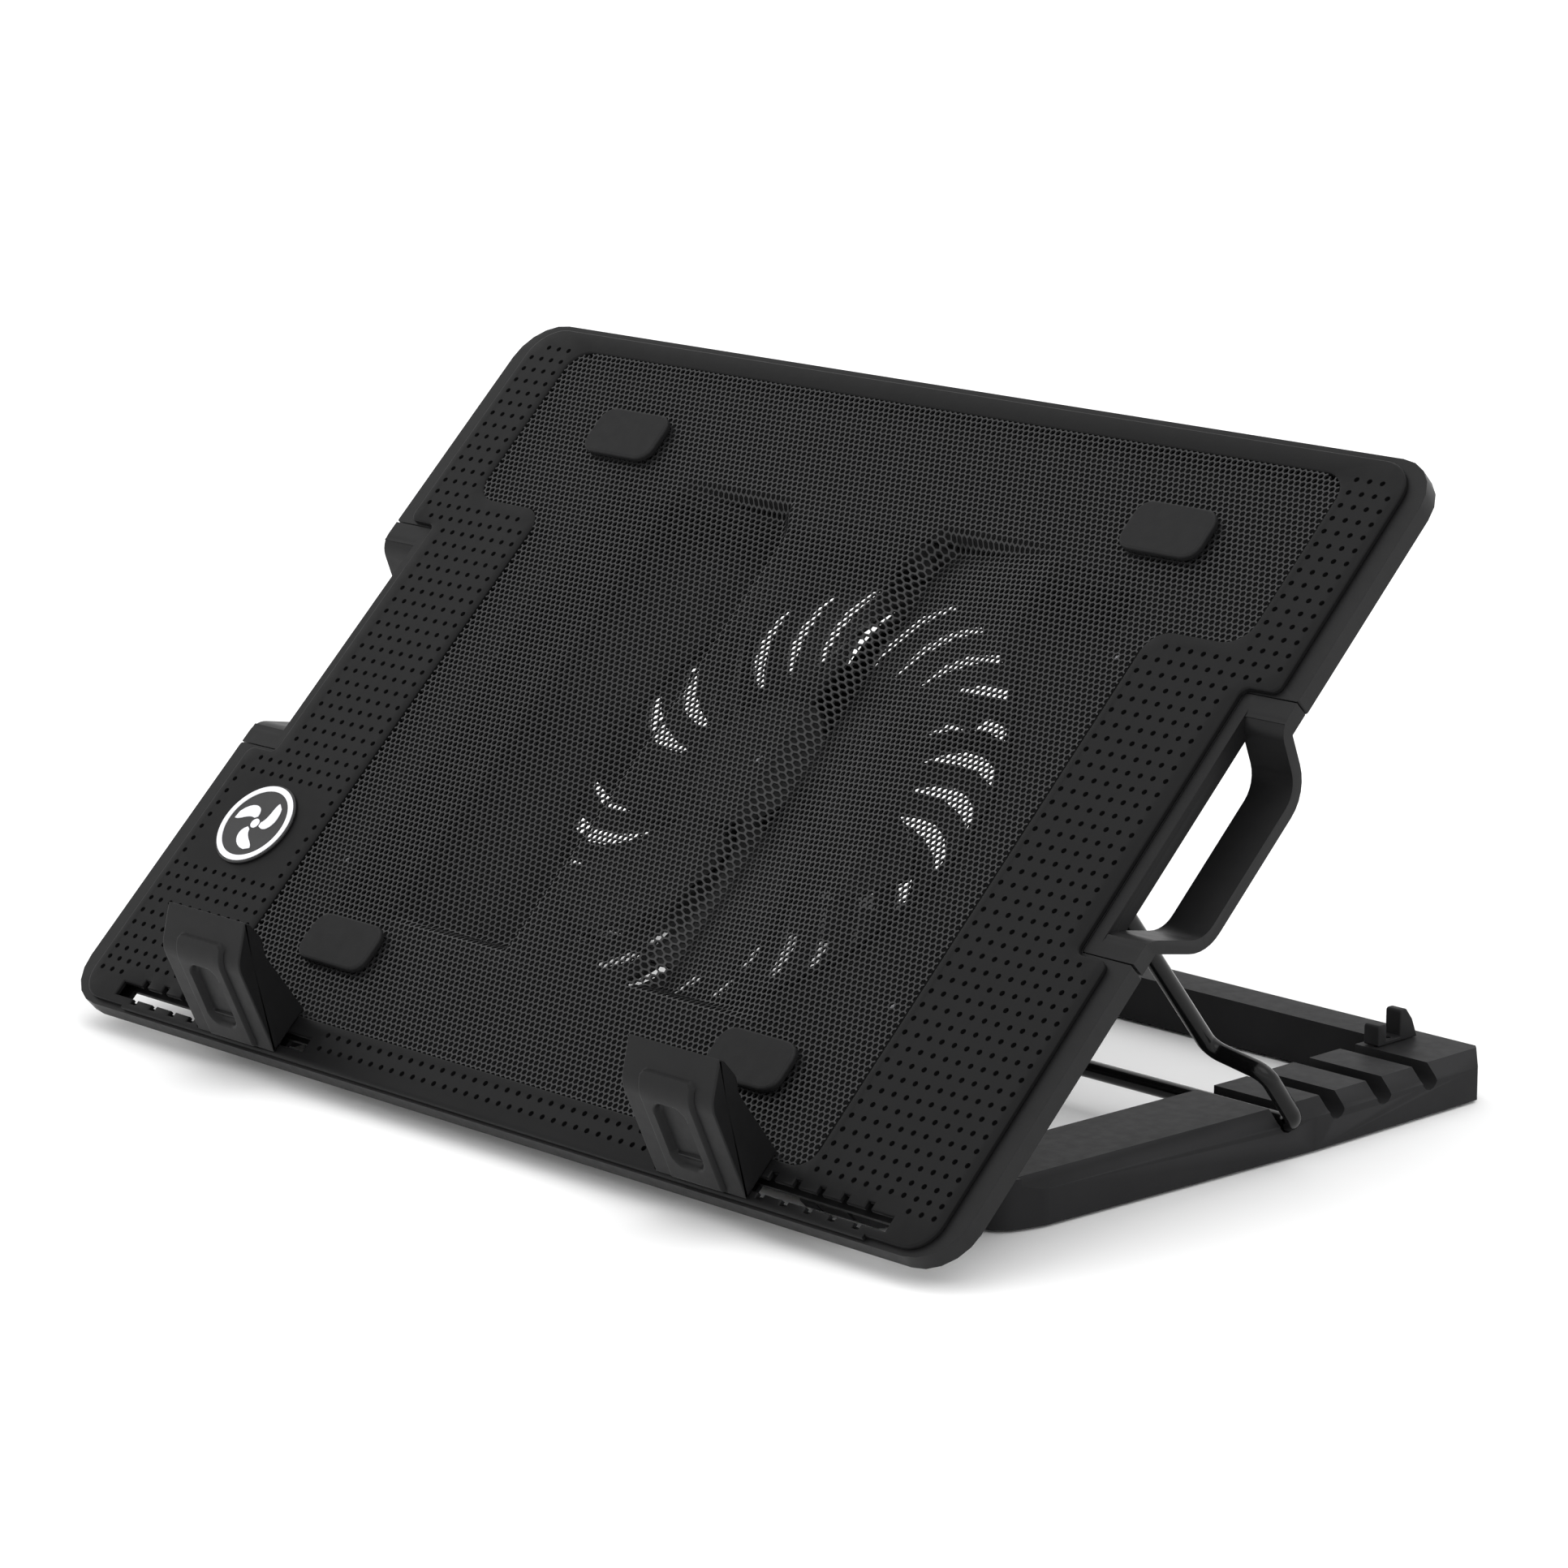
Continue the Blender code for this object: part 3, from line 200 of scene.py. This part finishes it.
def dress_nodes():
    for row in frame["record"]["subparts"]:
        node = NODES[row["node"]]
        node.data.materials.clear()
        node.data.materials.append(BY_SLOT[row["material_slot"]])
        for face in node.data.polygons:
            face.use_smooth = True
    widths = {"base_frame": 0.0006, "lower_shell": 0.0004, "fan_housing": 0.0006,
              "fan_ring": 0.0003, "vent_grille": 0.0003, "control_box": 0.0005,
              "control_board": 0.0001, "speed_dial": 0.0002, "power_inlet": 0.0002,
              "motor_board": 0.0002}
    for _, word in SIDES:
        widths[f"handle_{word}"] = 0.0007
        widths[f"bail_bracket_{word}"] = 0.0005
        widths[f"hinge_bracket_{word}"] = 0.0006
        widths[f"bar_clip_{word}"] = 0.0005
        widths[f"hinge_pin_{word}"] = 0.0003
        for place in ("front", "rear"):
            widths[f"rubber_pad_{place}_{word}"] = 0.0005
            widths[f"rubber_foot_{place}_{word}"] = 0.0002
    for name, width in widths.items():
        soften(name, width)


# ---- outlines -----------------------------------------------------------------------------
def fillet(points, radius=0.0, steps=5, closed=True):
    """Round an outline's corners. A point may carry its own radius as a third value."""
    corners = [Vector(p[:2]) for p in points]
    result = []
    for i, corner in enumerate(corners):
        own = points[i][2] if len(points[i]) > 2 else radius
        if own == 0 or (not closed and i in (0, len(corners) - 1)):
            result.append(tuple(corner))
            continue
        back = corners[i - 1] - corner
        ahead = corners[(i + 1) % len(corners)] - corner
        half = back.angle(ahead) / 2
        run = min(own / math.tan(half), back.length * 0.49, ahead.length * 0.49)
        middle = (back.normalized() + ahead.normalized()).normalized()
        centre = corner + middle * run / math.cos(half)
        start = corner + back.normalized() * run - centre
        sweep = start.angle_signed(corner + ahead.normalized() * run - centre)
        for step in range(steps + 1):
            turned = start.copy()
            turned.rotate(Matrix.Rotation(-sweep * step / steps, 2))
            result.append(tuple(centre + turned))
    return result


def both_sides(points):
    return points + [(-p[0], *p[1:]) for p in reversed(points)]


def cover_outline(grow=0.0):
    edge = COVER_SIDE + grow
    inner = HANDLE_INNER - 0.0006 + grow
    front, rear = HANDLE_FRONT - 0.0018 + grow, HANDLE_REAR + 0.0008 - grow
    nose = COVER_FRONT - grow
    right = [(JOG_X, nose, 0), (JOG_X + DRAFT, nose + JOG_BACK, 0),
             (edge, nose + JOG_BACK, 0.010), (edge, front - DRAFT, 0.003),
             (inner, front, 0.003), (inner, rear, 0.003), (edge, rear + DRAFT, 0.003),
             (edge, COVER_REAR + grow, 0.012)]
    return fillet(both_sides(right), steps=8)


def mesh_outline(grow=0.0):
    right = [(MESH_NARROW + grow, MESH_FRONT - grow, 0.007),
             (MESH_NARROW + grow, MESH_STEP - DRAFT - grow, 0.008),
             (MESH_WIDE + grow, MESH_STEP - grow, 0.009),
             (MESH_WIDE + grow, MESH_REAR + grow, 0.009)]
    return fillet(both_sides(right), steps=8)


def slot_outline(side, grow=0.0):
    """A stopper's slot with its cross notches, its front edge first."""
    notches = [NOTCH_FIRST + NOTCH_PITCH * i for i in range(NOTCHES)]
    half = NOTCH + grow
    front, back = SLOT_FRONT - grow, SLOT_BACK + grow
    tip, tail = NOTCH_FRONT - grow, NOTCH_BACK + grow
    points = [(SLOT_OUT + grow, back), (SLOT_OUT + grow, front)]
    for x in reversed(notches):
        points += [(x + half, front), (x + half, tip), (x - half, tip), (x - half, front)]
    points += [(SLOT_IN - grow, front), (SLOT_IN - grow, back)]
    for x in notches:
        points += [(x - half, back), (x - half, tail), (x + half, tail), (x + half, back)]
    return [(side * x, y) for x, y in points]


def circle(radius, count, x=0.0, y=0.0):
    turns = [2 * math.pi * k / count for k in range(count)]
    return [(x + radius * math.cos(turn), y + radius * math.sin(turn)) for turn in turns]


def inside(points, outline):
    """Which of the points, an N by 2 array, lie inside the outline."""
    result = np.zeros(len(points), bool)
    x, y = points[:, 0], points[:, 1]
    for (x0, y0), (x1, y1) in zip(outline, outline[1:] + outline[:1]):
        if y0 == y1:
            continue
        crosses = (y0 > y) != (y1 > y)
        result ^= crosses & (x < (x1 - x0) * (y - y0) / (y1 - y0) + x0)
    return result


# ---- new pieces ---------------------------------------------------------------------------
def add_piece(name, mesh, material, body, replaced=(), matrix=DECK, angle=35.0):
    piece = bpy.data.objects.new(name, mesh)
    bpy.context.scene.collection.objects.link(piece)
    mesh.materials.clear()
    mesh.materials.append(material)
    mesh.shade_smooth()
    mesh.set_sharp_from_angle(angle=math.radians(angle))
    piece.matrix_world = matrix
    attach(piece, body)
    if replaced:
        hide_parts(*replaced)
    return piece


def mesh_of(name, vertices, faces):
    mesh = bpy.data.meshes.new(name)
    mesh.from_pydata(vertices, [], faces)
    mesh.validate()
    return mesh


def outward(mesh):
    edit = bmesh.new()
    edit.from_mesh(mesh)
    bmesh.ops.remove_doubles(edit, verts=edit.verts, dist=0.000001)
    bmesh.ops.recalc_face_normals(edit, faces=edit.faces)
    edit.to_mesh(mesh)
    edit.free()
    return mesh


def ring_faces(first, second, count):
    return [(first + i, first + (i + 1) % count, second + (i + 1) % count, second + i)
            for i in range(count)]


def add_rings(vertices, faces, rings):
    """Append closed rings, all of one length, and the faces between neighbours."""
    count = len(rings[0])
    for n, ring in enumerate(rings):
        if n:
            faces += ring_faces(len(vertices) - count, len(vertices), count)
        vertices += ring


# ---- the perforated sheet -----------------------------------------------------------------
def relief(x, y):
    """How far the sheet dips: two ramps beside a level strip that flares at its rear end."""
    across = np.abs(x)
    ridge = RIDGE + FLARE * np.clip((y - (DIP_REAR - FLARE_START)) / FLARE_RUN, 0, 1) ** 2
    foot = ridge + FOOT_RUN
    wall = (across - ridge) / FOOT_RUN
    ramped = (BRIM - across) / (BRIM - foot)
    ends = np.minimum((y - DIP_FRONT) / DIP_SLOPE, (DIP_REAR - y) / DIP_SLOPE)
    return DIP * np.clip(np.minimum(np.minimum(wall, ramped), ends), 0, 1)


def soft_relief(x, y, reach=0.0011):
    """The relief averaged over its surroundings, which rounds its edges."""
    shifts = (-reach, -reach / 2, 0.0, reach / 2, reach)
    return sum(relief(x + dx, y + dy) for dx in shifts for dy in shifts) / len(shifts) ** 2


def sheet_cells():
    """The hexagonal cells whose centres lie within the sheet: their row, column and centre."""
    row = CELL * math.sqrt(3) / 2
    columns = int(MESH_WIDE / CELL) + 2
    rows = range(int(MESH_FRONT / row) - 2, int(MESH_REAR / row) + 3)
    keys = [(i, j) for j in rows for i in range(-columns, columns + 1)]
    centres = np.array([((i + 0.5 * (j % 2)) * CELL, j * row) for i, j in keys])
    kept = inside(centres, mesh_outline(0.0005))
    return [key for key, keep in zip(keys, kept) if keep], centres[kept]


def make_sheet():
    """The webs between the cells: a quad along each shared side, a triangle at each corner."""
    keys, centres = sheet_cells()
    index = {key: n for n, key in enumerate(keys)}
    radius = (CELL - WEB) / math.sqrt(3)
    turns = np.radians(30 + 60 * np.arange(6))
    corners = centres[:, None, :] + radius * np.stack([np.cos(turns), np.sin(turns)], -1)
    flat = corners.reshape(-1, 2)
    dip = soft_relief(flat[:, 0], flat[:, 1])
    top = np.column_stack([flat, MESH_TOP - dip])
    low = np.column_stack([flat, MESH_TOP - MESH_THICKNESS - dip])
    strips = {"left": [], "middle": [], "right": []}
    for n, (i, j) in enumerate(keys):
        odd = j % 2
        right = index.get((i + 1, j))
        upper = index.get((i + odd, j + 1))
        left = index.get((i + odd - 1, j + 1))
        x = centres[n][0]
        faces = strips["left" if x < -STRIP_EDGE else "right" if x > STRIP_EDGE else "middle"]
        a = 6 * n
        if right is not None:
            b = 6 * right
            faces.append((a + 5, b + 3, b + 2, a))
        if upper is not None:
            c = 6 * upper
            faces.append((a, c + 4, c + 3, a + 1))
        if left is not None:
            d = 6 * left
            faces.append((a + 1, d + 5, d + 4, a + 2))
        if right is not None and upper is not None:
            faces.append((a, b + 2, c + 4))
        if upper is not None and left is not None:
            faces.append((a + 1, c + 3, d + 5))
    for word, faces in strips.items():
        build_strip(f"mesh_sheet_{word}", faces, top, low)


def build_strip(name, faces, top, low):
    """One part of the sheet: its top faces, their undersides and the walls of the holes."""
    used = sorted({v for face in faces for v in face})
    place = {v: n for n, v in enumerate(used)}
    count = len(used)
    faces = [tuple(place[v] for v in face) for face in faces]
    edges = {(face[k - 1], face[k]) for face in faces for k in range(len(face))}
    walls = [(v, u, u + count, v + count) for u, v in sorted(edges) if (v, u) not in edges]
    under = [tuple(v + count for v in reversed(face)) for face in faces]
    vertices = np.vstack([top[used], low[used]]).tolist()
    mesh = mesh_of(name, vertices, faces + walls + under)
    add_piece(name, mesh, MESH, "deck", ("mesh_panel",), angle=25.0)


# ---- the dimpled cover --------------------------------------------------------------------
def dimple_centres():
    columns = [COLUMN_FIRST + COLUMN_PITCH * k for k in range(COLUMNS)]
    rows = [ROW_SECOND, *np.arange(ROW_THIRD, ROWS_END, DIMPLE_PITCH)]
    places = [(side * x, y) for side, _ in SIDES for x in columns for y in (*rows, ROW_FIRST)]
    middle = np.arange(-27, 28) * DIMPLE_PITCH
    places += [(x, rows[-1]) for x in middle if abs(x) < COLUMN_FIRST - 0.0026]
    places += [(x, y) for x in middle for y in NOSE_ROWS if abs(x) < SLOT_IN - 0.004]
    points = np.array(places)
    keep = inside(points, cover_outline(-0.0030)) & ~inside(points, mesh_outline(0.0030))
    from_badge = np.abs(points - np.array(BADGE))
    keep &= ~((from_badge[:, 0] < 0.0215) & (from_badge[:, 1] < 0.0185))
    for side, _ in SIDES:
        across = side * points[:, 0]
        beside = (across > SLOT_IN - 0.003) & (across < SLOT_OUT + 0.002)
        keep &= ~(beside & (points[:, 1] < NOTCH_BACK + 0.002))
    return points[keep]


def in_dimples(points, dimples, bucket=0.004):
    """Which of the points lie in a dimple. The dimples are kept in buckets by their place."""
    cells = {}
    for x, y in dimples:
        cells.setdefault((round(x / bucket), round(y / bucket)), []).append((x, y))
    result = np.zeros(len(points), bool)
    for n, (x, y) in enumerate(points):
        i, j = round(x / bucket), round(y / bucket)
        near = (c for di in (-1, 0, 1) for dj in (-1, 0, 1)
                for c in cells.get((i + di, j + dj), ()))
        result[n] = any(math.hypot(x - cx, y - cy) < DIMPLE * 0.9 for cx, cy in near)
    return result


def flat_face(loops, height, dimples=()):
    """Vertices and triangles that fill the first loop, less the other loops and dimples."""
    points, edges = [], []
    holes = [circle(DIMPLE, DIMPLE_SIDES, x, y) for x, y in dimples]
    for loop in (*loops, *holes):
        start = len(points)
        points += [Vector(p) for p in loop]
        edges += [(start + i, start + (i + 1) % len(loop)) for i in range(len(loop))]
    out, _, faces, *_ = delaunay_2d_cdt(points, edges, [], 0, 1e-7)
    corners = np.array([tuple(p) for p in out])
    centres = np.array([corners[list(face)].mean(axis=0) for face in faces])
    keep = inside(centres, loops[0]) & ~in_dimples(centres, dimples)
    for loop in loops[1:]:
        keep &= ~inside(centres, loop)
    vertices = [(x, y, height) for x, y in corners]
    return vertices, [tuple(face) for face, kept in zip(faces, keep) if kept]


def make_cover():
    """The cover plate: rounded upper edges round its outline and openings, and the dimples."""
    shapes = [cover_outline, mesh_outline]
    shapes += [lambda grow, side=side: slot_outline(side, grow) for side, _ in SIDES]
    signs = (1, -1, -1, -1)
    rounding = [(-COVER_ROUND, 0.0), (-COVER_ROUND / 2, -0.0001), (-0.0001, -COVER_ROUND / 2),
                (0.0, -COVER_ROUND), (0.0, COVER_LOW - COVER_TOP)]
    dimples = dimple_centres()
    top_loops = [shape(-sign * COVER_ROUND) for shape, sign in zip(shapes, signs)]
    vertices, faces = flat_face(top_loops, COVER_TOP, dimples)
    low_vertices, low_faces = flat_face([shape(0.0) for shape in shapes], COVER_LOW)
    faces += [tuple(v + len(vertices) for v in reversed(face)) for face in low_faces]
    vertices += low_vertices
    for shape, sign in zip(shapes, signs):
        add_rings(vertices, faces, [[(x, y, COVER_TOP + drop) for x, y in shape(sign * grow)]
                                    for grow, drop in rounding])
    bowl = ((DIMPLE, 0.0), (DIMPLE * 0.94, 0.0007), (DIMPLE * 0.72, 0.0011))
    for centre in dimples:
        add_rings(vertices, faces, [[(x, y, COVER_TOP - depth)
                                     for x, y in circle(radius, DIMPLE_SIDES, *centre)]
                                    for radius, depth in bowl])
        faces.append(tuple(range(len(vertices) - DIMPLE_SIDES, len(vertices))))
    mesh = outward(mesh_of("cover", vertices, faces))
    add_piece("dimpled_cover", mesh, COVER, "deck", ("top_cover",))


# ---- the bail -----------------------------------------------------------------------------
def tube_mesh(path, radius, sides=20):
    """A round bar along a level path, with rounded ends."""
    points = [Vector(p) for p in path]
    rings = []
    for i, point in enumerate(points):
        ahead = (points[min(i + 1, len(points) - 1)] - points[max(i - 1, 0)]).normalized()
        side = ahead.cross(Vector((0, 0, 1))).normalized()
        rings.append((point, side, side.cross(ahead), radius))
    for end, following in ((0, 1), (-1, -2)):
        point, side, rise, _ = rings[end]
        out = (point - rings[following][0]).normalized()
        cap = [(point + out * 0.0005, side, rise, radius * 0.72)]
        rings[end] = (point - out * 0.0003, side, rise, radius)
        rings = cap + rings if end == 0 else rings + cap
    vertices, faces = [], []
    add_rings(vertices, faces, [[tuple(point + side * x + rise * y) for x, y in circle(size, sides)]
                                for point, side, rise, size in rings])
    faces.append(tuple(range(sides)))
    faces.append(tuple(range(len(vertices) - sides, len(vertices))))
    return outward(mesh_of("tube", vertices, faces))


def make_bail():
    """The wire lies in one plane, from the lowest and rearmost reach of the frame's own bail."""
    wire, leg = 0.0028, 0.165
    low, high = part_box("bail")
    pivot = Vector(JOINTS["bail_swing"]["pos_m"])
    run, fall = high[1] - wire - pivot.y, pivot.z - low[2] - wire
    length, foot = math.hypot(run, fall), high[0] - wire
    half = [(0.150, 0, 0), (leg, 0, 0.0055), (leg, 0.0735, 0.006), (foot, 0.0800, 0.006),
            (foot, length, 0.0065), (0.10, length, 0)]
    right = fillet(half, steps=12, closed=False)
    path = [(x, y, 0) for x, y in both_sides(right)]
    matrix = Matrix.Translation(pivot) @ Matrix.Rotation(-math.atan2(fall, run), 4, "X")
    add_piece("bail_wire", tube_mesh(path, wire), WIRE, "bail", ("bail",), matrix)


# ---- the stoppers -------------------------------------------------------------------------
STOPPER_HALF, STOPPER_ROUND = 0.019, 0.0005
STOPPER_TOE, STOPPER_BEND, STOPPER_APEX = 0.0016, (0.0121, 0.0331), (0.0238, 0.0407)
STOPPER_MIDDLE = (0.0165, 0.0290)
BLOCK_HALF, BLOCK_RISE, BLOCK_OVER_BEND, BLOCK_CORNER = 0.0108, 0.0013, 0.0050, 0.0022
RECESS_HALF, RECESS_DEPTH, RECESS_LOW, RECESS_UNDER_BEND = 0.0066, 0.0022, 0.0078, 0.0012
SILL_RISE, SILL_PLACE = 0.0009, 0.0022


def resampled(path, step):
    """Points along an open path, about a step apart, with its ends kept."""
    result = [path[0]]
    for before, after in zip(path, path[1:]):
        count = max(1, round(math.dist(before, after) / step))
        for k in range(1, count + 1):
            share = k / count
            result.append((before[0] + (after[0] - before[0]) * share,
                           before[1] + (after[1] - before[1]) * share))
    return result


def blend_in(value, start, end):
    """A smooth step from 0 to 1 as the value goes from start to end."""
    share = np.clip((value - start) / (end - start), 0, 1)
    return share * share * (3 - 2 * share)


def face_height(u, v, bend):
    """How far a stopper's front stands out at u across and v up its face."""
    edge = np.maximum(np.abs(u) - (BLOCK_HALF - BLOCK_CORNER), 0)
    over = np.maximum(v - (bend + BLOCK_OVER_BEND - BLOCK_CORNER), 0)
    block = 1 - blend_in(np.hypot(edge, over), 0.0020, 0.0027)
    low, high = RECESS_LOW, bend - RECESS_UNDER_BEND
    along = np.maximum(np.maximum(low + RECESS_HALF * 0.5 - v, v - (high - RECESS_HALF)), 0)
    across = np.maximum(np.abs(u) - RECESS_HALF * 0.35, 0)
    recess = 1 - blend_in(np.hypot(across, along), RECESS_HALF * 0.50, RECESS_HALF * 0.72)
    sill = 1 - blend_in(np.abs(v - low - SILL_PLACE), 0.0003, 0.0008)
    sill *= np.abs(u) < RECESS_HALF * 0.75
    return BLOCK_RISE * block - RECESS_DEPTH * recess + SILL_RISE * sill


def bevelled_box(low, high, width=0.0004):
    edit = bmesh.new()
    bmesh.ops.create_cube(edit, size=1.0)
    for vertex in edit.verts:
        vertex.co = [l + (c + 0.5) * (h - l) for c, l, h in zip(vertex.co, low, high)]
    bmesh.ops.bevel(edit, geom=edit.edges[:], offset=width, segments=2, affect="EDGES", profile=0.5)
    vertices = [tuple(v.co) for v in edit.verts]
    faces = [tuple(v.index for v in f.verts) for f in edit.faces]
    edit.free()
    return vertices, faces


def stopper_profile(base):
    """A stopper's outline from its side, its outward normals and its front's number of points."""
    slope = [(STOPPER_TOE, base), (*STOPPER_BEND, 0.009), STOPPER_APEX]
    front = resampled(fillet(slope, steps=14, closed=False), 0.00045)
    back = [STOPPER_APEX, (0.0246, 0.0390, 0.0006), (0.0244, 0.0318, 0.004),
            (0.0213, 0.0265, 0.006), (0.0197, 0.0129, 0.020), (0.0185, base), (STOPPER_TOE, base)]
    rest = resampled(fillet(back, steps=6, closed=False), 0.002)[1:-1]
    profile = np.array(front + rest)
    ahead = np.roll(profile, -1, 0) - np.roll(profile, 1, 0)
    ahead /= np.linalg.norm(ahead, axis=1)[:, None]
    return profile, np.column_stack([-ahead[:, 1], ahead[:, 0]]), len(front)


def stopper_stations():
    """Places across a stopper, each with how far the outline is drawn in there."""
    rim = STOPPER_HALF - STOPPER_ROUND
    ends = [(STOPPER_HALF, STOPPER_ROUND + 0.0001)]
    ends += [(rim + STOPPER_ROUND * math.sin(t), STOPPER_ROUND * (1 - math.cos(t)))
             for t in np.radians((90, 68, 45, 22))]
    level = [(x, 0.0) for x in np.linspace(-rim, rim, 88)]
    return [(-x, drop) for x, drop in ends] + level + ends[::-1]


def make_stopper(word):
    """A wedge lofted from station to station, with the stem and foot that run in its slot."""
    base = COVER_TOP + FIT
    profile, normal, front = stopper_profile(base)
    count = len(profile)
    steps = np.linalg.norm(np.diff(profile[:front], axis=0), axis=1)
    run = np.concatenate([[0], np.cumsum(steps)])
    bend = math.dist((STOPPER_TOE, base), STOPPER_BEND)
    rings = []
    for x, drop in stopper_stations():
        height = np.zeros(count)
        height[:front] = face_height(x, run, bend) * blend_in(run, 0.0, 0.0012)
        ring = profile + normal * (height - drop)[:, None]
        rings.append([(x, y, max(z, base)) for y, z in ring])
    vertices, faces = [], []
    add_rings(vertices, faces, rings)
    for x, first in ((-STOPPER_HALF, 0), (STOPPER_HALF, (len(rings) - 1) * count)):
        faces += [(len(vertices), first + i, first + (i + 1) % count) for i in range(count)]
        vertices.append((x, *STOPPER_MIDDLE))
    for low, high in (((-0.0095, 0.0056, -0.0060), (0.0095, 0.0090, base + 0.0006)),
                      ((-0.0125, 0.0031, -0.0071), (0.0125, 0.0130, -0.0057))):
        more, sides = bevelled_box(low, high)
        faces += [tuple(v + len(vertices) for v in face) for face in sides]
        vertices += more
    lowest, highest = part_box(f"stopper_{word}")
    matrix = DECK @ Matrix.Translation(((lowest[0] + highest[0]) / 2, 0, 0))
    mesh = outward(mesh_of(f"stopper_{word}", vertices, faces))
    add_piece(f"stopper_body_{word}", mesh, CASING, f"{word}_stopper",
              (f"stopper_{word}",), matrix, angle=50.0)


# ---- the badge ----------------------------------------------------------------------------
def disc_mesh(rings, count=64):
    """A turned piece from rings of radius and height, closed by flat ends."""
    vertices, faces = [], []
    add_rings(vertices, faces, [[(x, y, height) for x, y in circle(radius, count)]
                                for radius, height in rings])
    faces.append(tuple(range(count)))
    faces.append(tuple(range(len(vertices) - count, len(vertices))))
    return outward(mesh_of("disc", vertices, faces))


def ring_mesh(inner, outer, low, high, count=64):
    profile = ((inner, low), (inner, high), (outer, high), (outer, low), (inner, low))
    vertices, faces = [], []
    add_rings(vertices, faces, [[(x, y, height) for x, y in circle(radius, count)]
                                for radius, height in profile])
    return outward(mesh_of("ring", vertices, faces))


def blade_glyph(height, blades=3, steps=12):
    """A generic fan sign: curved blades around a hub."""
    inner, outer, thickness, wide = 0.0026, 0.0104, 0.0002, steps + 1
    vertices, faces = [], []
    for n in range(blades):
        edge, back = [], []
        for k in range(wide):
            share = k / steps
            radius = inner + (outer - inner) * share
            turn = 2 * math.pi * n / blades + 0.9 * share ** 1.3
            half = 0.50 * math.sin(math.pi * (0.16 + 0.78 * share)) ** 0.8
            edge.append((radius * math.cos(turn + half), radius * math.sin(turn + half)))
            back.append((radius * math.cos(turn - half), radius * math.sin(turn - half)))
        start = len(vertices)
        upper = start + 2 * wide
        for z in (height - thickness, height):
            vertices += [(x, y, z) for x, y in edge + back]
        for k in range(steps):
            for first in (start, upper):
                faces.append((first + k, first + k + 1, first + wide + k + 1, first + wide + k))
        outline = [*range(wide), *range(2 * wide - 1, steps, -1)]
        for a, b in zip(outline, outline[1:] + outline[:1]):
            faces.append((start + a, start + b, upper + b, upper + a))
    return outward(mesh_of("glyph", vertices, faces))


def make_badge():
    """A dark disc that carries the sign: a ring, the blades and a hub."""
    base = COVER_TOP + FIT
    matrix = DECK @ Matrix.Translation((*BADGE, 0))
    plate = disc_mesh(((0.0155, base), (0.0155, base + 0.0005), (0.0152, base + 0.0008)))
    add_piece("badge_plate", plate, INK, "deck", ("badge",), matrix)
    rim = ring_mesh(0.0128, 0.0148, base + 0.0007, base + 0.0010)
    add_piece("badge_rim", rim, PRINT, "deck", (), matrix)
    add_piece("badge_blades", blade_glyph(base + 0.0010), PRINT, "deck", (), matrix)
    hub = disc_mesh(((0.0018, base + 0.0007), (0.0018, base + 0.0009), (0.0016, base + 0.0010)), 32)
    add_piece("badge_hub", hub, PRINT, "deck", (), matrix)


# ---- floor, light and camera --------------------------------------------------------------
def make_floor():
    reach = 9
    corners = [(-reach, -reach, 0), (reach, -reach, 0), (reach, reach, 0), (-reach, reach, 0)]
    mesh = mesh_of("floor", corners, [(0, 1, 2, 3)])
    floor = bpy.data.objects.new("floor", mesh)
    bpy.context.scene.collection.objects.link(floor)
    material = bpy.data.materials.new("floor_paper")
    material.use_nodes = True
    tree = material.node_tree
    shader = tree.nodes["Principled BSDF"]
    place = tree.nodes.new("ShaderNodeTexCoord").outputs["Object"]
    tone = ramp(tree, noise(tree, place, 3.0), 0, 1, 0.3, 0.7)
    colour = mix(tree, tone, (0.93, 0.93, 0.93), (0.95, 0.95, 0.95))
    tree.links.new(colour, shader.inputs["Base Color"])
    shader.inputs["Roughness"].default_value = 0.9
    shader.inputs["Specular IOR Level"].default_value = 0.1
    mesh.materials.append(material)


def add_light(name, place, target, size, power):
    data = bpy.data.lights.new(name, "AREA")
    data.shape = "SQUARE"
    data.size = size
    data.energy = power
    light = bpy.data.objects.new(name, data)
    bpy.context.scene.collection.objects.link(light)
    light.location = place
    light.rotation_euler = (Vector(target) - Vector(place)).to_track_quat("-Z", "Y").to_euler()


def make_studio():
    world = bpy.data.worlds.new("studio")
    world.use_nodes = True
    bpy.context.scene.world = world
    background = world.node_tree.nodes["Background"]
    background.inputs["Color"].default_value = (1, 1, 1, 1)
    background.inputs["Strength"].default_value = 1.25
    middle = (0, 0, 0.08)
    add_light("key", (1.7, -0.5, 1.5), middle, 1.4, 7)
    add_light("rear", (0.6, 1.9, 1.5), middle, 1.4, 3)
    add_light("top", (-0.2, -0.4, 2.2), middle, 1.2, 5)
    bpy.context.scene.view_settings.view_transform = "Standard"


def make_camera():
    data = bpy.data.cameras.new("camera")
    data.sensor_width = 36.0
    data.lens = 128.154
    data.clip_end = 20.0
    camera = bpy.data.objects.new("camera", data)
    bpy.context.scene.collection.objects.link(camera)
    camera.location = (1.21734, -1.17559, 0.48913)
    camera.rotation_euler = (math.radians(76.806), 0, math.radians(45.796))
    bpy.context.scene.camera = camera


dress_nodes()
make_sheet()
make_cover()
make_bail()
for _, label in SIDES:
    make_stopper(label)
make_badge()
make_floor()
make_studio()
make_camera()
